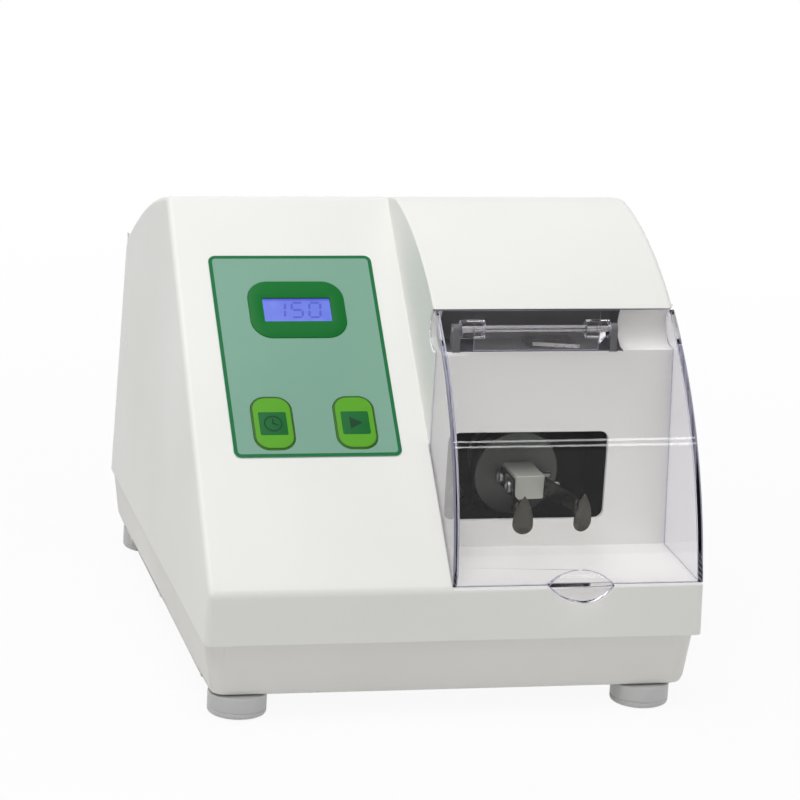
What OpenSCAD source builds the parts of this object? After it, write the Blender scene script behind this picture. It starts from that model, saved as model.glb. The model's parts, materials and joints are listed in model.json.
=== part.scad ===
// Dental capsule mixer: a bench-top case with a sloped control panel on the left,
// and on the right a bay under a clear arched cover, where a sprung clip holds the
// capsule and a motor with a skewed hub swings it.
// Inside in_case(), X runs across, Y runs back from the front lip and Z runs up from
// the parting line between the upper shell and the base tray.

/* [Case] */
// Width of the case at the parting line
body_w = 230; // [222:1:245]
// Depth of the case from the front lip to the rear wall
body_d = 278; // [272:1:296]
// Height of the upright band along the front of the upper shell
lip_h = 24.3; // [22:0.1:27]
// Distance from the front lip back to the top ridge
ridge_y = 168; // [162:1:174]
// Height of the top ridge above the parting line
ridge_h = 165; // [160:1:172]
// Fall of the roof just behind the ridge in degrees
rear_fall = 12; // [9:0.5:15]
// Radius of the roof's long curve behind the ridge
roof_r = 260; // [240:5:300]
// Radius of the rounding at the back of the roof
rear_r = 40; // [32:1:50]
// Lean of each side wall in degrees
draft = 1.75; // [1:0.05:2.2]
// Wall thickness of the mouldings
wall = 2.5; // [2:0.1:3]
// Radius of the upright rear corners
rear_corner_r = 12; // [6:1:16]
// Radius of the upright front corners
front_corner_r = 3; // [2:0.5:5]

/* [Base tray] */
// Height of the base tray
tray_h = 25.8; // [24:0.1:30]
// Setback of the tray under the edge of the upper shell
tray_step = 1.3; // [0.8:0.1:2]
// Inward taper of the tray's sides over its height
tray_taper = 3; // [2:0.5:4]
// Rounding along the bottom edge of the tray
tray_edge = 4; // [2:0.5:5]
// Depth of the slanted flats beside the tray's front corners
tray_flat = 1.6; // [0.8:0.1:2]
// Height of the tongue that centres the upper shell on the tray
tongue_h = 3; // [2:0.5:5]

/* [Feet] */
// Height of a foot with its pad
foot_h = 10.5; // [9:0.5:14]
// Diameter of a foot
foot_d = 26.8; // [24:0.2:29]
// Inset of the left feet's middle from the side of the case
foot_left_in = 18.5; // [17:0.5:25]
// Inset of the right feet's middle from the side of the case
foot_right_in = 23.5; // [19:0.5:29]
// Distance of the front feet behind the lip
foot_front_y = 14.5; // [14:0.5:24]
// Distance of the rear feet before the rear wall
foot_rear_y = 26; // [20:1:40]
// Thickness that a rubber pad stands out of its foot
pad_out = 0.8; // [0.5:0.1:1.5]

/* [Bay and cover] */
// Place of the bay's left wall, from the middle of the case
bay_x = -3.2; // [-6:0.1:2]
// Depth of the bay behind the front lip
bay_d = 60; // [57:0.5:63]
// Distance of the arch's foot behind the lip
arch_y = 2.3; // [2:0.1:3]
// Radius of the arch's lower arc
arch_r1 = 145.5; // [142:0.5:150]
// Radius of the arch's upper arc
arch_r2 = 172; // [169:0.5:176]
// Lean of the arch at its foot in degrees
arch_lean = 3.2; // [2:0.1:4.5]
// Angle at which the lower arc meets the upper one in degrees
arch_turn = 47.9; // [45:0.1:50]
// Thickness of the clear cover
cover_t = 2; // [1.6:0.1:2.4]
// Depth of the cover's hinge axis under the arch's face
hinge_depth = 6.9; // [6.6:0.1:7.4]
// Radius that the cover's rear edge sweeps about the hinge axis
cover_edge_r = 9.1; // [8.8:0.1:9.3]
// Diameter of the hinge pin
hinge_pin_d = 3; // [2.5:0.1:3.4]
// Left end of the hinge room in the bay's rear wall
recess_x0 = 2; // [0:0.5:4]
// Right end of the hinge room
recess_x1 = 86; // [84:0.5:92]
// Depth of the hinge room's floor under the hinge axis
recess_drop = 9.8; // [9.4:0.1:12]
// Depth of the hinge room behind the bay's rear wall
recess_depth = 24; // [18:1:28]
// Width of the finger tab
tab_w = 31; // [26:1:36]
// Height of the finger tab
tab_h = 12.8; // [11:0.2:14]
// Height of the finger tab's middle above the lip
tab_rise = 0.9; // [0.5:0.1:1.5]
// Distance that the finger tab's lower edge stands before the lip
tab_out = 6.2; // [5:0.1:8]
// Radius of the finger tab's hollow face
tab_r = 60; // [40:1:90]

/* [Mixing window] */
// Left edge of the window in the bay's rear wall
window_x0 = 7.5; // [4:0.5:10]
// Right edge of the window
window_x1 = 82; // [80:0.5:86]
// Lower edge of the window
window_z0 = 37.3; // [36:0.1:41]
// Upper edge of the window
window_z1 = 79.3; // [77:0.1:82]
// Corner radius of the window
window_r = 4; // [2:0.5:6]
// Thickness of the black liner behind the window
liner_t = 1.5; // [1:0.1:2]

/* [Control panel] */
// Width of the panel film
panel_w = 78; // [76:1:84]
// Length of the panel film up the slope
panel_l = 112.6; // [110:0.2:118]
// Middle of the panel film, from the middle of the case
panel_x = -55.4; // [-58:0.2:-53]
// Distance of the film's lower edge up the slope
panel_s = 71.7; // [66:0.1:76]
// Thickness of the panel film
panel_t = 0.5; // [0.4:0.1:0.8]
// Corner radius of the panel film
panel_r = 3.5; // [2:0.5:6]
// Width of the display frame
frame_w = 45.6; // [42:0.2:50]
// Height of the display frame
frame_h = 32; // [30:0.5:36]
// Corner radius of the display frame
frame_r = 10; // [6:0.5:12]
// Distance of the display's middle above the film's lower edge
frame_s = 81.5; // [78:0.5:86]
// Width of the display
lcd_w = 32; // [28:0.5:34]
// Height of the display
lcd_h = 13; // [11:0.5:15]
// Rim of the display module beside the display
display_rim_x = 5; // [4:0.5:7]
// Rim of the display module above and below the display
display_rim_y = 5.5; // [4:0.5:7]
// Width of a button
button_w = 19; // [17:0.2:21]
// Height of a button
button_h = 28.6; // [26:0.2:31]
// Corner radius of a button
button_r = 7; // [5:0.5:8]
// Distance between the middles of the buttons
button_pitch = 38.4; // [34:0.2:44]
// Distance of the buttons' middle above the film's lower edge
button_s = 18.3; // [17:0.1:20]
// Height of a button above the film
button_out = 0.5; // [0.4:0.1:0.9]
// Travel of a button
button_travel = 0.4; // [0.2:0.05:0.5]

/* [Swing drive] */
// Place of the motor shaft, from the middle of the case
shaft_x = 43; // [40:0.5:46]
// Height of the motor shaft above the parting line
shaft_z = 55; // [54:0.5:58]
// Distance of the swing's pivot behind the lip
pivot_y = 90; // [88:0.5:94]
// Skew of the hub in degrees
skew = 6; // [4:0.5:7]
// Direction in which the hub leans at rest, in degrees below level
skew_dir = 39; // [0:1:90]
// Diameter of the motor shaft
shaft_d = 8; // [7:0.5:9]
// Diameter of the skewed spigot
spigot_d = 10; // [9:0.5:11]
// Outer diameter of the swing bearing
swing_bearing_d = 26; // [24:0.5:28]
// Width of the swing bearing
swing_bearing_w = 8; // [7:0.5:9]
// Diameter of the swing disc
disc_d = 41; // [38:0.5:43]
// Thickness of the swing disc
disc_t = 4; // [3:0.5:5]
// Distance of the disc's back before the pivot
disc_f = 8; // [7:0.5:9]

/* [Capsule holder] */
// Width of the holder block
block_w = 14.5; // [13:0.5:16]
// Height of the holder block
block_h = 11.5; // [10:0.5:13]
// Length of the holder block
block_l = 19; // [17:0.5:21]
// Thickness of a clip arm
clip_t = 1; // [0.8:0.1:1.2]
// Height of a clip arm
clip_h = 8.6; // [8:0.2:10]
// Inner gap between the clip arms where the capsule sits
clip_gap = 27.8; // [26:0.2:30]
// Reach of the clip arms before the block
clip_reach = 33; // [30:0.5:35]
// Width of a clip's finger tab
leaf_w = 9.4; // [8:0.2:10]
// Height of a clip's finger tab
leaf_h = 18.4; // [16:0.2:19]

/* [Motor] */
// Diameter of the motor
motor_d = 58; // [56:1:60]
// Length of the stator
stator_l = 36; // [30:1:38]
// Length of each end bell
bell_l = 17; // [16:0.5:19]
// Outer diameter of a motor bearing
bearing_d = 22; // [20:0.5:24]
// Width of a motor bearing
bearing_w = 7; // [6:0.5:7.5]
// Distance of the bracket's front plate behind the pivot
bracket_b = 18; // [17.5:0.5:20]
// Thickness of the bracket's plates
bracket_t = 3; // [2.5:0.1:3.5]
// Diameter of the cooling fan
fan_d = 54; // [48:1:58]

/* [Electrics] */
// Place of the power inlet, from the middle of the case
inlet_x = -70; // [-76:1:-60]
// Height of the power inlet above the parting line
inlet_z = 40; // [34:1:50]
// Width of the inlet's flange
inlet_w = 50; // [48:0.5:52]
// Height of the inlet's flange
inlet_h = 28; // [27:0.5:32]
// Thickness of the flanges on the rear wall
flange_t = 2.5; // [2:0.1:3]
// Place of the mains switch, from the middle of the case
rocker_x = -22; // [-30:1:-16]
// Width of the mains switch's rocker
rocker_w = 13; // [12:0.5:15]
// Height of the mains switch's rocker
rocker_h = 19; // [18:0.5:22]

/* [Fits] */
// Gap between parts that pass each other
gap = 0.3; // [0.2:0.05:0.4]
// Gap all round a screw or a shaft in its hole
fit = 0.05; // [0.03:0.01:0.08]

/* [Hidden] */
$fn = 64;

slope = atan((ridge_h - lip_h) / ridge_y);
part_z = foot_h + tray_h;
arch_c1 = [arch_y + arch_r1 * cos(arch_lean), lip_h - arch_r1 * sin(arch_lean)];
arch_join = arch_c1 + arch_r1 * [-cos(arch_turn), sin(arch_turn)];
arch_c2 = arch_join + arch_r2 * [cos(arch_turn), -sin(arch_turn)];
roof_c = [ridge_y, ridge_h] - roof_r * [sin(rear_fall), cos(rear_fall)];
rear_c = [body_d - rear_r,
  roof_c[1] + sqrt(pow(roof_r - rear_r, 2) - pow(body_d - rear_r - roof_c[0], 2))];
far = 400;
hinge_y = bay_d + 2.5;
hinge_z = arch_c2[1] + sqrt(pow(arch_r2, 2) - pow(arch_c2[0] - hinge_y, 2)) - hinge_depth;
recess_z = hinge_z - recess_drop;
cove_r = cover_edge_r + 0.5;
pocket_t = 2;
lug_r = hinge_pin_d / 2 + 1.1;
lug_w = 3.6;
lug_xs = [recess_x0 + 3, recess_x1 - 3 - lug_w];
knuckle_r = hinge_pin_d / 2 + 2.8;
knuckle_l = 11;
knuckle_xs = [lug_xs[0] + lug_w + gap, lug_xs[1] - gap - knuckle_l];
leaf_back = -2.7;
leaf_t = 1.6;
leaf_drop = 9;
cover_x0 = bay_x + gap;
cover_mid = (cover_x0 + body_w / 2) / 2;
tab_z1 = lip_h + tab_rise + tab_h / 2;
tab_low = [-tab_out, tab_z1 - tab_h];
tab_top = [arch_c1[0] - sqrt(pow(arch_r1, 2) - pow(tab_z1 - arch_c1[1], 2)), tab_z1];
tab_chord = tab_top - tab_low;
tab_c = (tab_low + tab_top) / 2
  + sqrt(pow(tab_r / norm(tab_chord), 2) - 0.25) * [-tab_chord[1], tab_chord[0]];
tab_lens_r = (tab_w * tab_w + tab_h * tab_h) / (4 * tab_h);

boss_d = 9;
case_screw_d = 4;
case_screw_l = 30;
case_boss_h = 20;
case_screw_x = body_w / 2 - wall - 8.5;
foot_rear = body_d - foot_rear_y;
case_screw_ys = [foot_front_y + foot_d / 2 + 6.1, body_d / 2 + 6, foot_rear - foot_d / 2 - 8.6];
tray_head_z = -tray_h + 8;
foot_xs = [foot_left_in - body_w / 2, body_w / 2 - foot_right_in];
foot_xy = [[foot_xs[0], foot_front_y], [foot_xs[1], foot_front_y],
  [foot_xs[0], foot_rear], [foot_xs[1], foot_rear]];
foot_edge = 4;
foot_screw_seat = -tray_h - 3.5;
foot_screw_l = 14;
foot_boss_h = 12;
pad_d = foot_d - 6;
pad_hole_d = 10;
pad_sunk = 1.6;

board_w0 = -(wall + 9);
board_t = 1.6;
board_size = [86, 125];
board_mid = [panel_x, panel_s + panel_l / 2 + 3.7];
board_in = 5;
standoff_d = 6;
board_screw_d = 2.5;
button_xs = [panel_x - button_pitch / 2, panel_x + button_pitch / 2];
button_mid = panel_s + button_s;
button_flange = 2;
button_flange_t = 1.2;
button_room = 0.25;
frame_mid = panel_s + frame_s;
frame_top = panel_t + 0.3;
glass_margin = 1;
switch_h = 5;
switch_wide = 6;
plunger_h = 1.5;

hub_d = 24;
hub_front = 6.4;
hub_back = bracket_b - 0.6;
shoulder_d = spigot_d + 4;
housing_d = swing_bearing_d + 8;
housing_back = swing_bearing_w / 2 + 0.5;
ball_d = (swing_bearing_d - spigot_d) * 0.3;
ball_r = (swing_bearing_d + spigot_d) / 4;
balls = 8;
race_gap = 1.6;
hub_screw_d = 4;
guide_pin_d = 4;
guide_pin_r = 25;
fork_gap = 0.4;
fork_reach = 4.8;
prong_w = 2.5;
fork_base_t = 4;
fork_screw_d = 3;
fork_screw_x = 8;
bell_b = bracket_b + bracket_t;
bell_t = 3;
bell_rim = 6;
bell_vent_w = 16;
bell_spigot_d = bearing_d + 8;
bell_spigot_h = 1.6;
stator_b = bell_b + bell_l;
motor_back = stator_b + stator_l + bell_l;
motor_mid = stator_b + stator_l / 2;
air_gap = 0.3;
rotor_d = motor_d / 2 + 0.4;
coil_r0 = rotor_d / 2 + 2.5;
coil_r1 = motor_d / 2 - bell_rim - 0.6;
coil_out = 8.5;
slots = 8;
slot_w = 6;
shaft_b0 = hub_front + 1;
fan_b = motor_back + 3;
fan_w = 9;
blades = 9;
motor_bolt_r = motor_d / 2 - 2.7;
motor_bolt_d = 3;
plate_x0 = window_x0 - 6.5;
plate_x1 = window_x1 + 4.5;
plate_z1 = window_z1 + 8.7;
mount_z = -10;
mount_in = 11;
mount_xs = [plate_x0 + mount_in, plate_x1 - mount_in];
mount_ys = [pivot_y + bell_b + 10, pivot_y + motor_back - 2];
mount_screw_d = 4;
mount_bite = 9;
mount_neck_d = 8;
mount_flange_d = 13;
mount_flange_t = 2;
plate_back = mount_ys[1] + 10;
liner_x = [window_x0 - 5, window_x1 + 5];
liner_z = [window_z0 - 10.3, window_z1 + 8];
fork_z = liner_z[0] + liner_t + fork_gap + 7;

disc_front = disc_f + disc_t;
block_f = disc_front + block_l;
clip_f0 = disc_front + 1.5;
clip_in = block_w / 2 + fit;
clip_far = disc_front + block_l + clip_reach;
clip_bend = clip_far - 14;
hold_f = clip_far - 7;
hold_d = 6;
clip_screw_d = 3;
clip_screw_fs = [disc_front + 4, block_f - 3];
clip_screw_room = 0.4;
clip_tip = 7;
leaf_turn = 15;

tray_floor = -tray_h + wall;
tray_slot_pitch = 8;
power_x = [8 - case_screw_x, bay_x - 10.8];
power_y = [24, 132];
power_z = tray_floor + 7;
power_in = 5;
power_screw_d = 3;
power_bite = 5.5;
power_top = power_z + board_t;
core_leg = (power_x[1] - power_x[0]) / 10.25;
core_size = [6 * core_leg, 26, 5 * core_leg];
core_xy = [power_x[0] + core_size[0] / 2 + 4, power_y[0] + 38];
cap_d = 2.25 * core_leg;
cap_h = 28;
cap_pitch = 22;
cap_x = power_x[1] - cap_d / 2 - 7;
sink_w = 5 * core_leg;
sink_h = 32;
sink_t = 3;
fins = 8;
fin_t = 1.8;
fin_out = 16;
sink_xy = [power_x[1] - sink_w - 6, power_y[1] - 30];

inlet_body = [inlet_w * 0.55, inlet_h * 0.72];
inlet_screw_d = 3;
inlet_head_d = 5.4;
inlet_bite = 6;
inlet_screw_x = inlet_w / 2 - 5;
socket = [inlet_body[0] - 3, inlet_body[1] - 3.6];
socket_deep = 15;
vents = 9;
vent_pitch = 6;
vent_w = 3;
vent_h = 44;
rocker_frame = 2.5;
rocker_room = 0.5;
rocker_tilt = 8;
rocker_in = 2;
rocker_peak = 38;
rear_reach = rocker_h / 2 * sin(rocker_peak + rocker_tilt) - rocker_in;
front_y = -(body_d + rear_reach - tab_out) / 2;
lever_x = [44, 64];
lever_y = hinge_y + 3.3;
lever_t = 0.5;
lever_h = 1.8;
lever_low = recess_z + 1.3;
micro_l = 9.8;
micro_h = 3.2;
micro_y = lever_y + 1.2;

// Moves a piece from the case's own frame to the frame of the whole object.
module in_case() {
  translate([0, front_y, part_z]) children();
}

// Extrudes an outline in Y and Z from x0 to x1.
module along_x(x0, x1) {
  translate([x0, 0, 0]) rotate([90, 0, 90]) linear_extrude(x1 - x0) children();
}

// Extrudes an outline in X and Z from y0 to y1.
module along_y(y0, y1) {
  translate([0, y1, 0]) rotate([90, 0, 0]) linear_extrude(y1 - y0) children();
}

module slab(low, high) {
  translate(low) cube(high - low);
}

module rounded_square(size, r) {
  square([size[0] - 2 * r, size[1]], center = true);
  square([size[0], size[1] - 2 * r], center = true);
  for (sx = [-1, 1], sy = [-1, 1])
    translate([sx * (size[0] / 2 - r), sy * (size[1] / 2 - r)]) circle(r);
}

module rounded_slab(size, r, h) {
  linear_extrude(h) rounded_square(size, r);
}

module tube(outer_d, inner_d, h) {
  difference() {
    cylinder(d = outer_d, h = h);
    translate([0, 0, -1]) cylinder(d = inner_d, h = h + 2);
  }
}

// Screw with its head's seat at z = 0, the head above it and the shank below.
module screw(d, length, head_d = 0, head_h = 0) {
  hd = head_d > 0 ? head_d : 1.9 * d;
  hh = head_h > 0 ? head_h : 0.6 * d;
  difference() {
    cylinder(d = hd, h = hh);
    for (turn = [0, 90])
      rotate([0, 0, turn])
        translate([-hd * 0.3, -d * 0.11, hh * 0.45]) cube([hd * 0.6, d * 0.22, hh]);
  }
  translate([0, 0, -length]) cylinder(d = d, h = length);
}

// Screw hole round a shank of diameter d, from z = 0 down to -depth.
module pilot(d, depth) {
  translate([0, 0, -depth]) cylinder(d = d + 2 * fit, h = depth + 1);
}

function low(t) = t > 0 ? -1 : 0;
function slope_z(y, t) = lip_h + y * tan(slope) - t / cos(slope);
function half_w(z) = body_w / 2 - z * tan(draft);

// Everything below the roof and before the rear wall, t inside the surface. The long curve
// and the rounding behind it share a tangent.
module roof_2d(t) {
  joint = asin((rear_c[0] - roof_c[0]) / (roof_r - rear_r));
  intersection() {
    translate(roof_c) circle(roof_r - t, $fn = 480);
    union() {
      translate([-20, low(t)]) square([rear_c[0] + 20, far]);
      translate([-20, low(t)]) square([body_d - t + 20, rear_c[1] - low(t)]);
      translate(rear_c) {
        circle(rear_r - t, $fn = 160);
        polygon([[-1, 0], [-1, 2 * rear_r], 2 * rear_r * [sin(joint), cos(joint)]]);
      }
    }
  }
}

// Side outline of the left half, with the lip and the sloped face.
module tower_2d(t) {
  intersection() {
    roof_2d(t);
    polygon([
      [t, low(t)],
      [t, slope_z(t, t)],
      [body_d, slope_z(body_d, t)],
      [body_d, low(t)]
    ]);
  }
}

// Everything below the arch, made of two arcs that share a tangent.
module arch_2d(t) {
  inward = [cos(arch_turn), -sin(arch_turn)];
  upward = [sin(arch_turn), cos(arch_turn)];
  start = arch_join - 40 * inward;
  end = arch_join + far * inward;
  intersection() {
    translate(arch_c1) circle(arch_r1 - t, $fn = 240);
    polygon([start, end, end - far * upward, start - far * upward]);
  }
  intersection() {
    translate(arch_c2) circle(arch_r2 - t, $fn = 240);
    polygon([start, end, end + far * upward, start + far * upward]);
  }
}

module hood_2d(t) {
  intersection() {
    arch_2d(t);
    roof_2d(t);
  }
}

module behind(y) {
  translate([y, -far / 2]) square(far);
}

module below(z) {
  translate([-far / 2, z - far]) square(far);
}

// Front outline of the case, with both side walls leaning in.
module front_2d(t) {
  polygon([
    [-half_w(-30) + t, -30],
    [-half_w(far) + t, far],
    [half_w(far) - t, far],
    [half_w(-30) - t, -30]
  ]);
}

// Sliver outside an upright corner's rounding, for a wall that leans in.
module corner_cut(side, y, r, t) {
  towards = y > body_d / 2 ? 1 : -1;
  inner_r = max(r - t, 0.3);
  translate([side * (body_w / 2 - t), y - towards * t, 0])
    scale([side, towards, 1])
      rotate([0, -draft, 0])
        translate([-inner_r, -inner_r, -far / 2])
          difference() {
            cube([r + 4, r + 4, far]);
            translate([0, 0, -1]) cylinder(r = inner_r, h = far + 2);
          }
}

// The case as one body, t inside its outer surface.
module case_form(t) {
  difference() {
    intersection() {
      union() {
        along_x(-far, bay_x - t) tower_2d(t);
        along_x(bay_x + t, far)
          intersection() {
            hood_2d(t);
            behind(bay_d + t);
          }
        along_x(-far, far)
          intersection() {
            tower_2d(t);
            union() {
              behind(bay_d + t);
              below(lip_h - t);
            }
          }
      }
      along_y(-far, far) front_2d(t);
    }
    for (side = [-1, 1]) {
      corner_cut(side, 0, front_corner_r, t);
      corner_cut(side, body_d, rear_corner_r, t);
    }
  }
}

// Frame of the control panel: X across, Y up the slope and Z out of it.
module on_slope() {
  translate([0, 0, lip_h]) rotate([slope, 0, 0]) children();
}

// Frame of the motor shaft: Z runs back from the swing's pivot.
module on_shaft() {
  translate([shaft_x, pivot_y, shaft_z]) rotate([-90, 0, 0]) children();
}

// Frame of the swinging holder: X right, Y up and Z forward from the pivot.
module on_swing() {
  translate([shaft_x, pivot_y, shaft_z])
    rotate(a = skew, v = [sin(skew_dir), 0, cos(skew_dir)])
      rotate([90, 0, 0]) children();
}

// Frame of the rear wall: X across, Y up and Z into the case.
module on_rear(x, z) {
  translate([x, body_d, z]) rotate([90, 0, 0]) children();
}

module hinge_rod(x0, x1, r) {
  along_x(x0, x1) translate([hinge_y, hinge_z]) circle(r);
}

module at_board_holes() {
  for (sx = [-1, 1], sy = [-1, 1])
    translate([board_mid[0] + sx * (board_size[0] / 2 - board_in),
      board_mid[1] + sy * (board_size[1] / 2 - board_in), 0])
      children();
}

module at_case_screws() {
  for (side = [-1, 1], y = case_screw_ys)
    translate([side * case_screw_x, y, 0]) children();
}

module at_feet() {
  for (xy = foot_xy) translate([xy[0], xy[1], 0]) children();
}

module at_mounts() {
  for (x = mount_xs, y = mount_ys) translate([x, y, mount_z]) children();
}

module at_power_holes() {
  for (i = [0, 1], j = [0, 1])
    translate([power_x[i] + (1 - 2 * i) * power_in, power_y[j] + (1 - 2 * j) * power_in, 0])
      children();
}

module at_motor_bolts(b) {
  for (turn = [45:90:315]) rotate([0, 0, turn]) translate([motor_bolt_r, 0, b]) children();
}

// Openings of the control panel, each widened by a clearance.
module button_hole(x, room) {
  translate([x, button_mid])
    rounded_square([button_w + 2 * room, button_h + 2 * room], button_r + room);
}

module shell_hollow() {
  difference() {
    case_form(wall);
    hinge_rod(bay_x, far, cove_r + wall);
    slab([recess_x0 - pocket_t, bay_d, recess_z - pocket_t],
      [recess_x1 + pocket_t, bay_d + recess_depth + pocket_t, far]);
  }
}

module hinge_room() {
  intersection() {
    slab([recess_x0, bay_d - 1, recess_z], [recess_x1, bay_d + recess_depth, far]);
    along_x(0, far) hood_2d(wall);
  }
}

module rear_vents() {
  for (i = [0:vents - 1])
    translate([shaft_x + (i - (vents - 1) / 2) * vent_pitch, body_d, shaft_z])
      slab([-vent_w / 2, -2 * wall, -vent_h / 2], [vent_w / 2, 1, vent_h / 2]);
}

module panel_holes() {
  on_slope() translate([0, 0, -2 * wall]) linear_extrude(3 * wall) {
    for (x = button_xs) button_hole(x, button_room);
    translate([panel_x, frame_mid])
      square([lcd_w + 2 * glass_margin + 2 * gap, lcd_h + 2 * glass_margin + 2 * gap],
        center = true);
  }
}

module hinge_lugs() {
  for (x = lug_xs)
    along_x(x, x + lug_w) {
      translate([hinge_y, hinge_z]) circle(lug_r);
      translate([hinge_y - lug_r, recess_z - 0.5]) square([2 * lug_r, hinge_z - recess_z + 0.5]);
    }
}

module upper_shell() {
  color("whitesmoke") in_case() difference() {
    union() {
      difference() {
        case_form(0);
        shell_hollow();
        hinge_rod(bay_x, far, cove_r);
        hinge_room();
        panel_holes();
        rear_vents();
        along_y(bay_d - 1, bay_d + 2 * wall)
          translate([(window_x0 + window_x1) / 2, (window_z0 + window_z1) / 2])
            rounded_square([window_x1 - window_x0, window_z1 - window_z0], window_r);
        on_rear(inlet_x, inlet_z) inlet_cut(fit);
        on_rear(rocker_x, inlet_z) rocker_cut(fit);
      }
      hinge_lugs();
      at_case_screws() cylinder(d = boss_d, h = case_boss_h);
      intersection() {
        case_form(0.5);
        at_case_screws() slab([-12, -1, tongue_h + 1], [12, 1, case_boss_h]);
        union() for (side = [-1, 1])
          translate([side * (body_w / 2 - 5), 0, 0]) slab([-6, 0, 0], [6, body_d, far]);
      }
      intersection() {
        case_form(0.5);
        on_slope() at_board_holes() translate([0, 0, board_w0])
          cylinder(d = standoff_d, h = -board_w0 - 0.5);
      }
    }
    at_case_screws() translate([0, 0, case_boss_h - 3]) pilot(case_screw_d, case_boss_h);
    on_slope() at_board_holes() translate([0, 0, -wall]) pilot(board_screw_d, 30);
    hinge_rod(lug_xs[0] - 1, lug_xs[1] + lug_w + 1, hinge_pin_d / 2 + fit);
    on_rear(inlet_x, inlet_z) for (side = [-1, 1])
      translate([side * inlet_screw_x, 0, -1]) cylinder(d = inlet_screw_d + 2 * fit, h = wall + 2);
  }
}

// Side outline of the cover, whose rear edge is round about the hinge axis.
module cover_2d() {
  intersection() {
    arch_2d(0);
    translate([-far / 2, lip_h + gap]) square(far);
    union() {
      translate([-far + bay_d - gap, 0]) square(far);
      translate([hinge_y, hinge_z]) circle(cover_edge_r);
    }
  }
}

module finger_tab() {
  intersection() {
    along_y(-2 * tab_out, 2 * tab_out)
      translate([cover_mid, tab_z1 - tab_h / 2])
        intersection_for(side = [-1, 1])
          translate([0, side * (tab_lens_r - tab_h / 2)]) circle(tab_lens_r, $fn = 120);
    along_x(0, far) difference() {
      union() {
        difference() {
          translate([-3 * tab_out, lip_h + gap]) square([6 * tab_out, tab_h]);
          arch_2d(cover_t / 2);
        }
        intersection() {
          translate(tab_c) circle(tab_r + cover_t, $fn = 240);
          translate([-3 * tab_out, lip_h - tab_h]) square([3 * tab_out - gap, tab_h + 2 * gap]);
        }
      }
      translate(tab_c) circle(tab_r, $fn = 240);
    }
  }
}

module dust_cover() {
  color("lavender", 0.4) in_case() difference() {
    union() {
      difference() {
        intersection() {
          along_x(cover_x0, far) cover_2d();
          along_y(-far, far) front_2d(0);
        }
        intersection() {
          along_x(cover_x0 + cover_t, far) arch_2d(cover_t);
          along_y(-far, far) front_2d(cover_t);
        }
      }
      finger_tab();
      for (x = knuckle_xs) hinge_rod(x, x + knuckle_l, knuckle_r);
      along_x(knuckle_xs[0] + knuckle_l / 2, knuckle_xs[1] + knuckle_l / 2)
        intersection() {
          arch_2d(cover_t / 2);
          translate([hinge_y + leaf_back - leaf_t, hinge_z - leaf_drop])
            square([leaf_t, 3 * leaf_drop]);
        }
    }
    hinge_rod(lug_xs[0], lug_xs[1] + lug_w, hinge_pin_d / 2 + fit);
  }
}

module hinge_pin() {
  color("silver") in_case()
    hinge_rod(lug_xs[0] - 0.2, lug_xs[1] + lug_w + 0.2, hinge_pin_d / 2);
}

module panel_film() {
  color("honeydew") in_case() on_slope() linear_extrude(panel_t) difference() {
    translate([panel_x, panel_s + panel_l / 2]) rounded_square([panel_w, panel_l], panel_r);
    for (x = button_xs) button_hole(x, button_room);
    translate([panel_x, frame_mid])
      rounded_square([frame_w + 2 * fit, frame_h + 2 * fit], frame_r + fit);
  }
}

module display_frame() {
  color("seagreen") in_case() on_slope() translate([panel_x, frame_mid, 0])
    linear_extrude(frame_top) difference() {
      rounded_square([frame_w, frame_h], frame_r);
      square([lcd_w, lcd_h], center = true);
    }
}

module display_module() {
  board_side = -wall - gap;
  color("cornflowerblue") in_case() on_slope() translate([panel_x, frame_mid, 0]) {
    translate([-lcd_w / 2 - display_rim_x, -lcd_h / 2 - display_rim_y, board_w0])
      cube([lcd_w + 2 * display_rim_x, lcd_h + 2 * display_rim_y, board_side - board_w0]);
    translate([-lcd_w / 2 - glass_margin, -lcd_h / 2 - glass_margin, board_side - 1])
      cube([lcd_w + 2 * glass_margin, lcd_h + 2 * glass_margin, wall + gap + 0.9]);
  }
}

module push_button(x) {
  flange_w = -wall - gap - button_flange_t;
  stem_w = board_w0 + switch_h + plunger_h + button_travel + 0.05;
  color("yellowgreen") in_case() on_slope() {
    translate([0, 0, flange_w + 0.1]) linear_extrude(panel_t + button_out - flange_w - 0.1)
      button_hole(x, 0);
    translate([0, 0, flange_w]) linear_extrude(button_flange_t) button_hole(x, button_flange);
    translate([x, button_mid, stem_w]) cylinder(d = switch_wide, h = flange_w - stem_w + 1);
  }
}

module set_button() {
  push_button(button_xs[0]);
}

module start_button() {
  push_button(button_xs[1]);
}

module control_board() {
  color("darkgreen") in_case() on_slope() difference() {
    translate([board_mid[0], board_mid[1], board_w0 - board_t])
      rounded_slab(board_size, 2, board_t);
    at_board_holes() translate([0, 0, board_w0]) pilot(board_screw_d, board_t + 1);
  }
}

module button_switches() {
  color("dimgray") in_case() on_slope() for (x = button_xs)
    translate([x, button_mid, board_w0]) {
      translate([-switch_wide / 2, -switch_wide / 2, 0]) cube([switch_wide, switch_wide, switch_h]);
      cylinder(d = switch_wide / 2, h = switch_h + plunger_h);
    }
}

module board_screws() {
  color("silver") in_case() on_slope() at_board_holes()
    translate([0, 0, board_w0 - board_t]) mirror([0, 0, 1]) screw(board_screw_d, 7.5);
}

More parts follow.
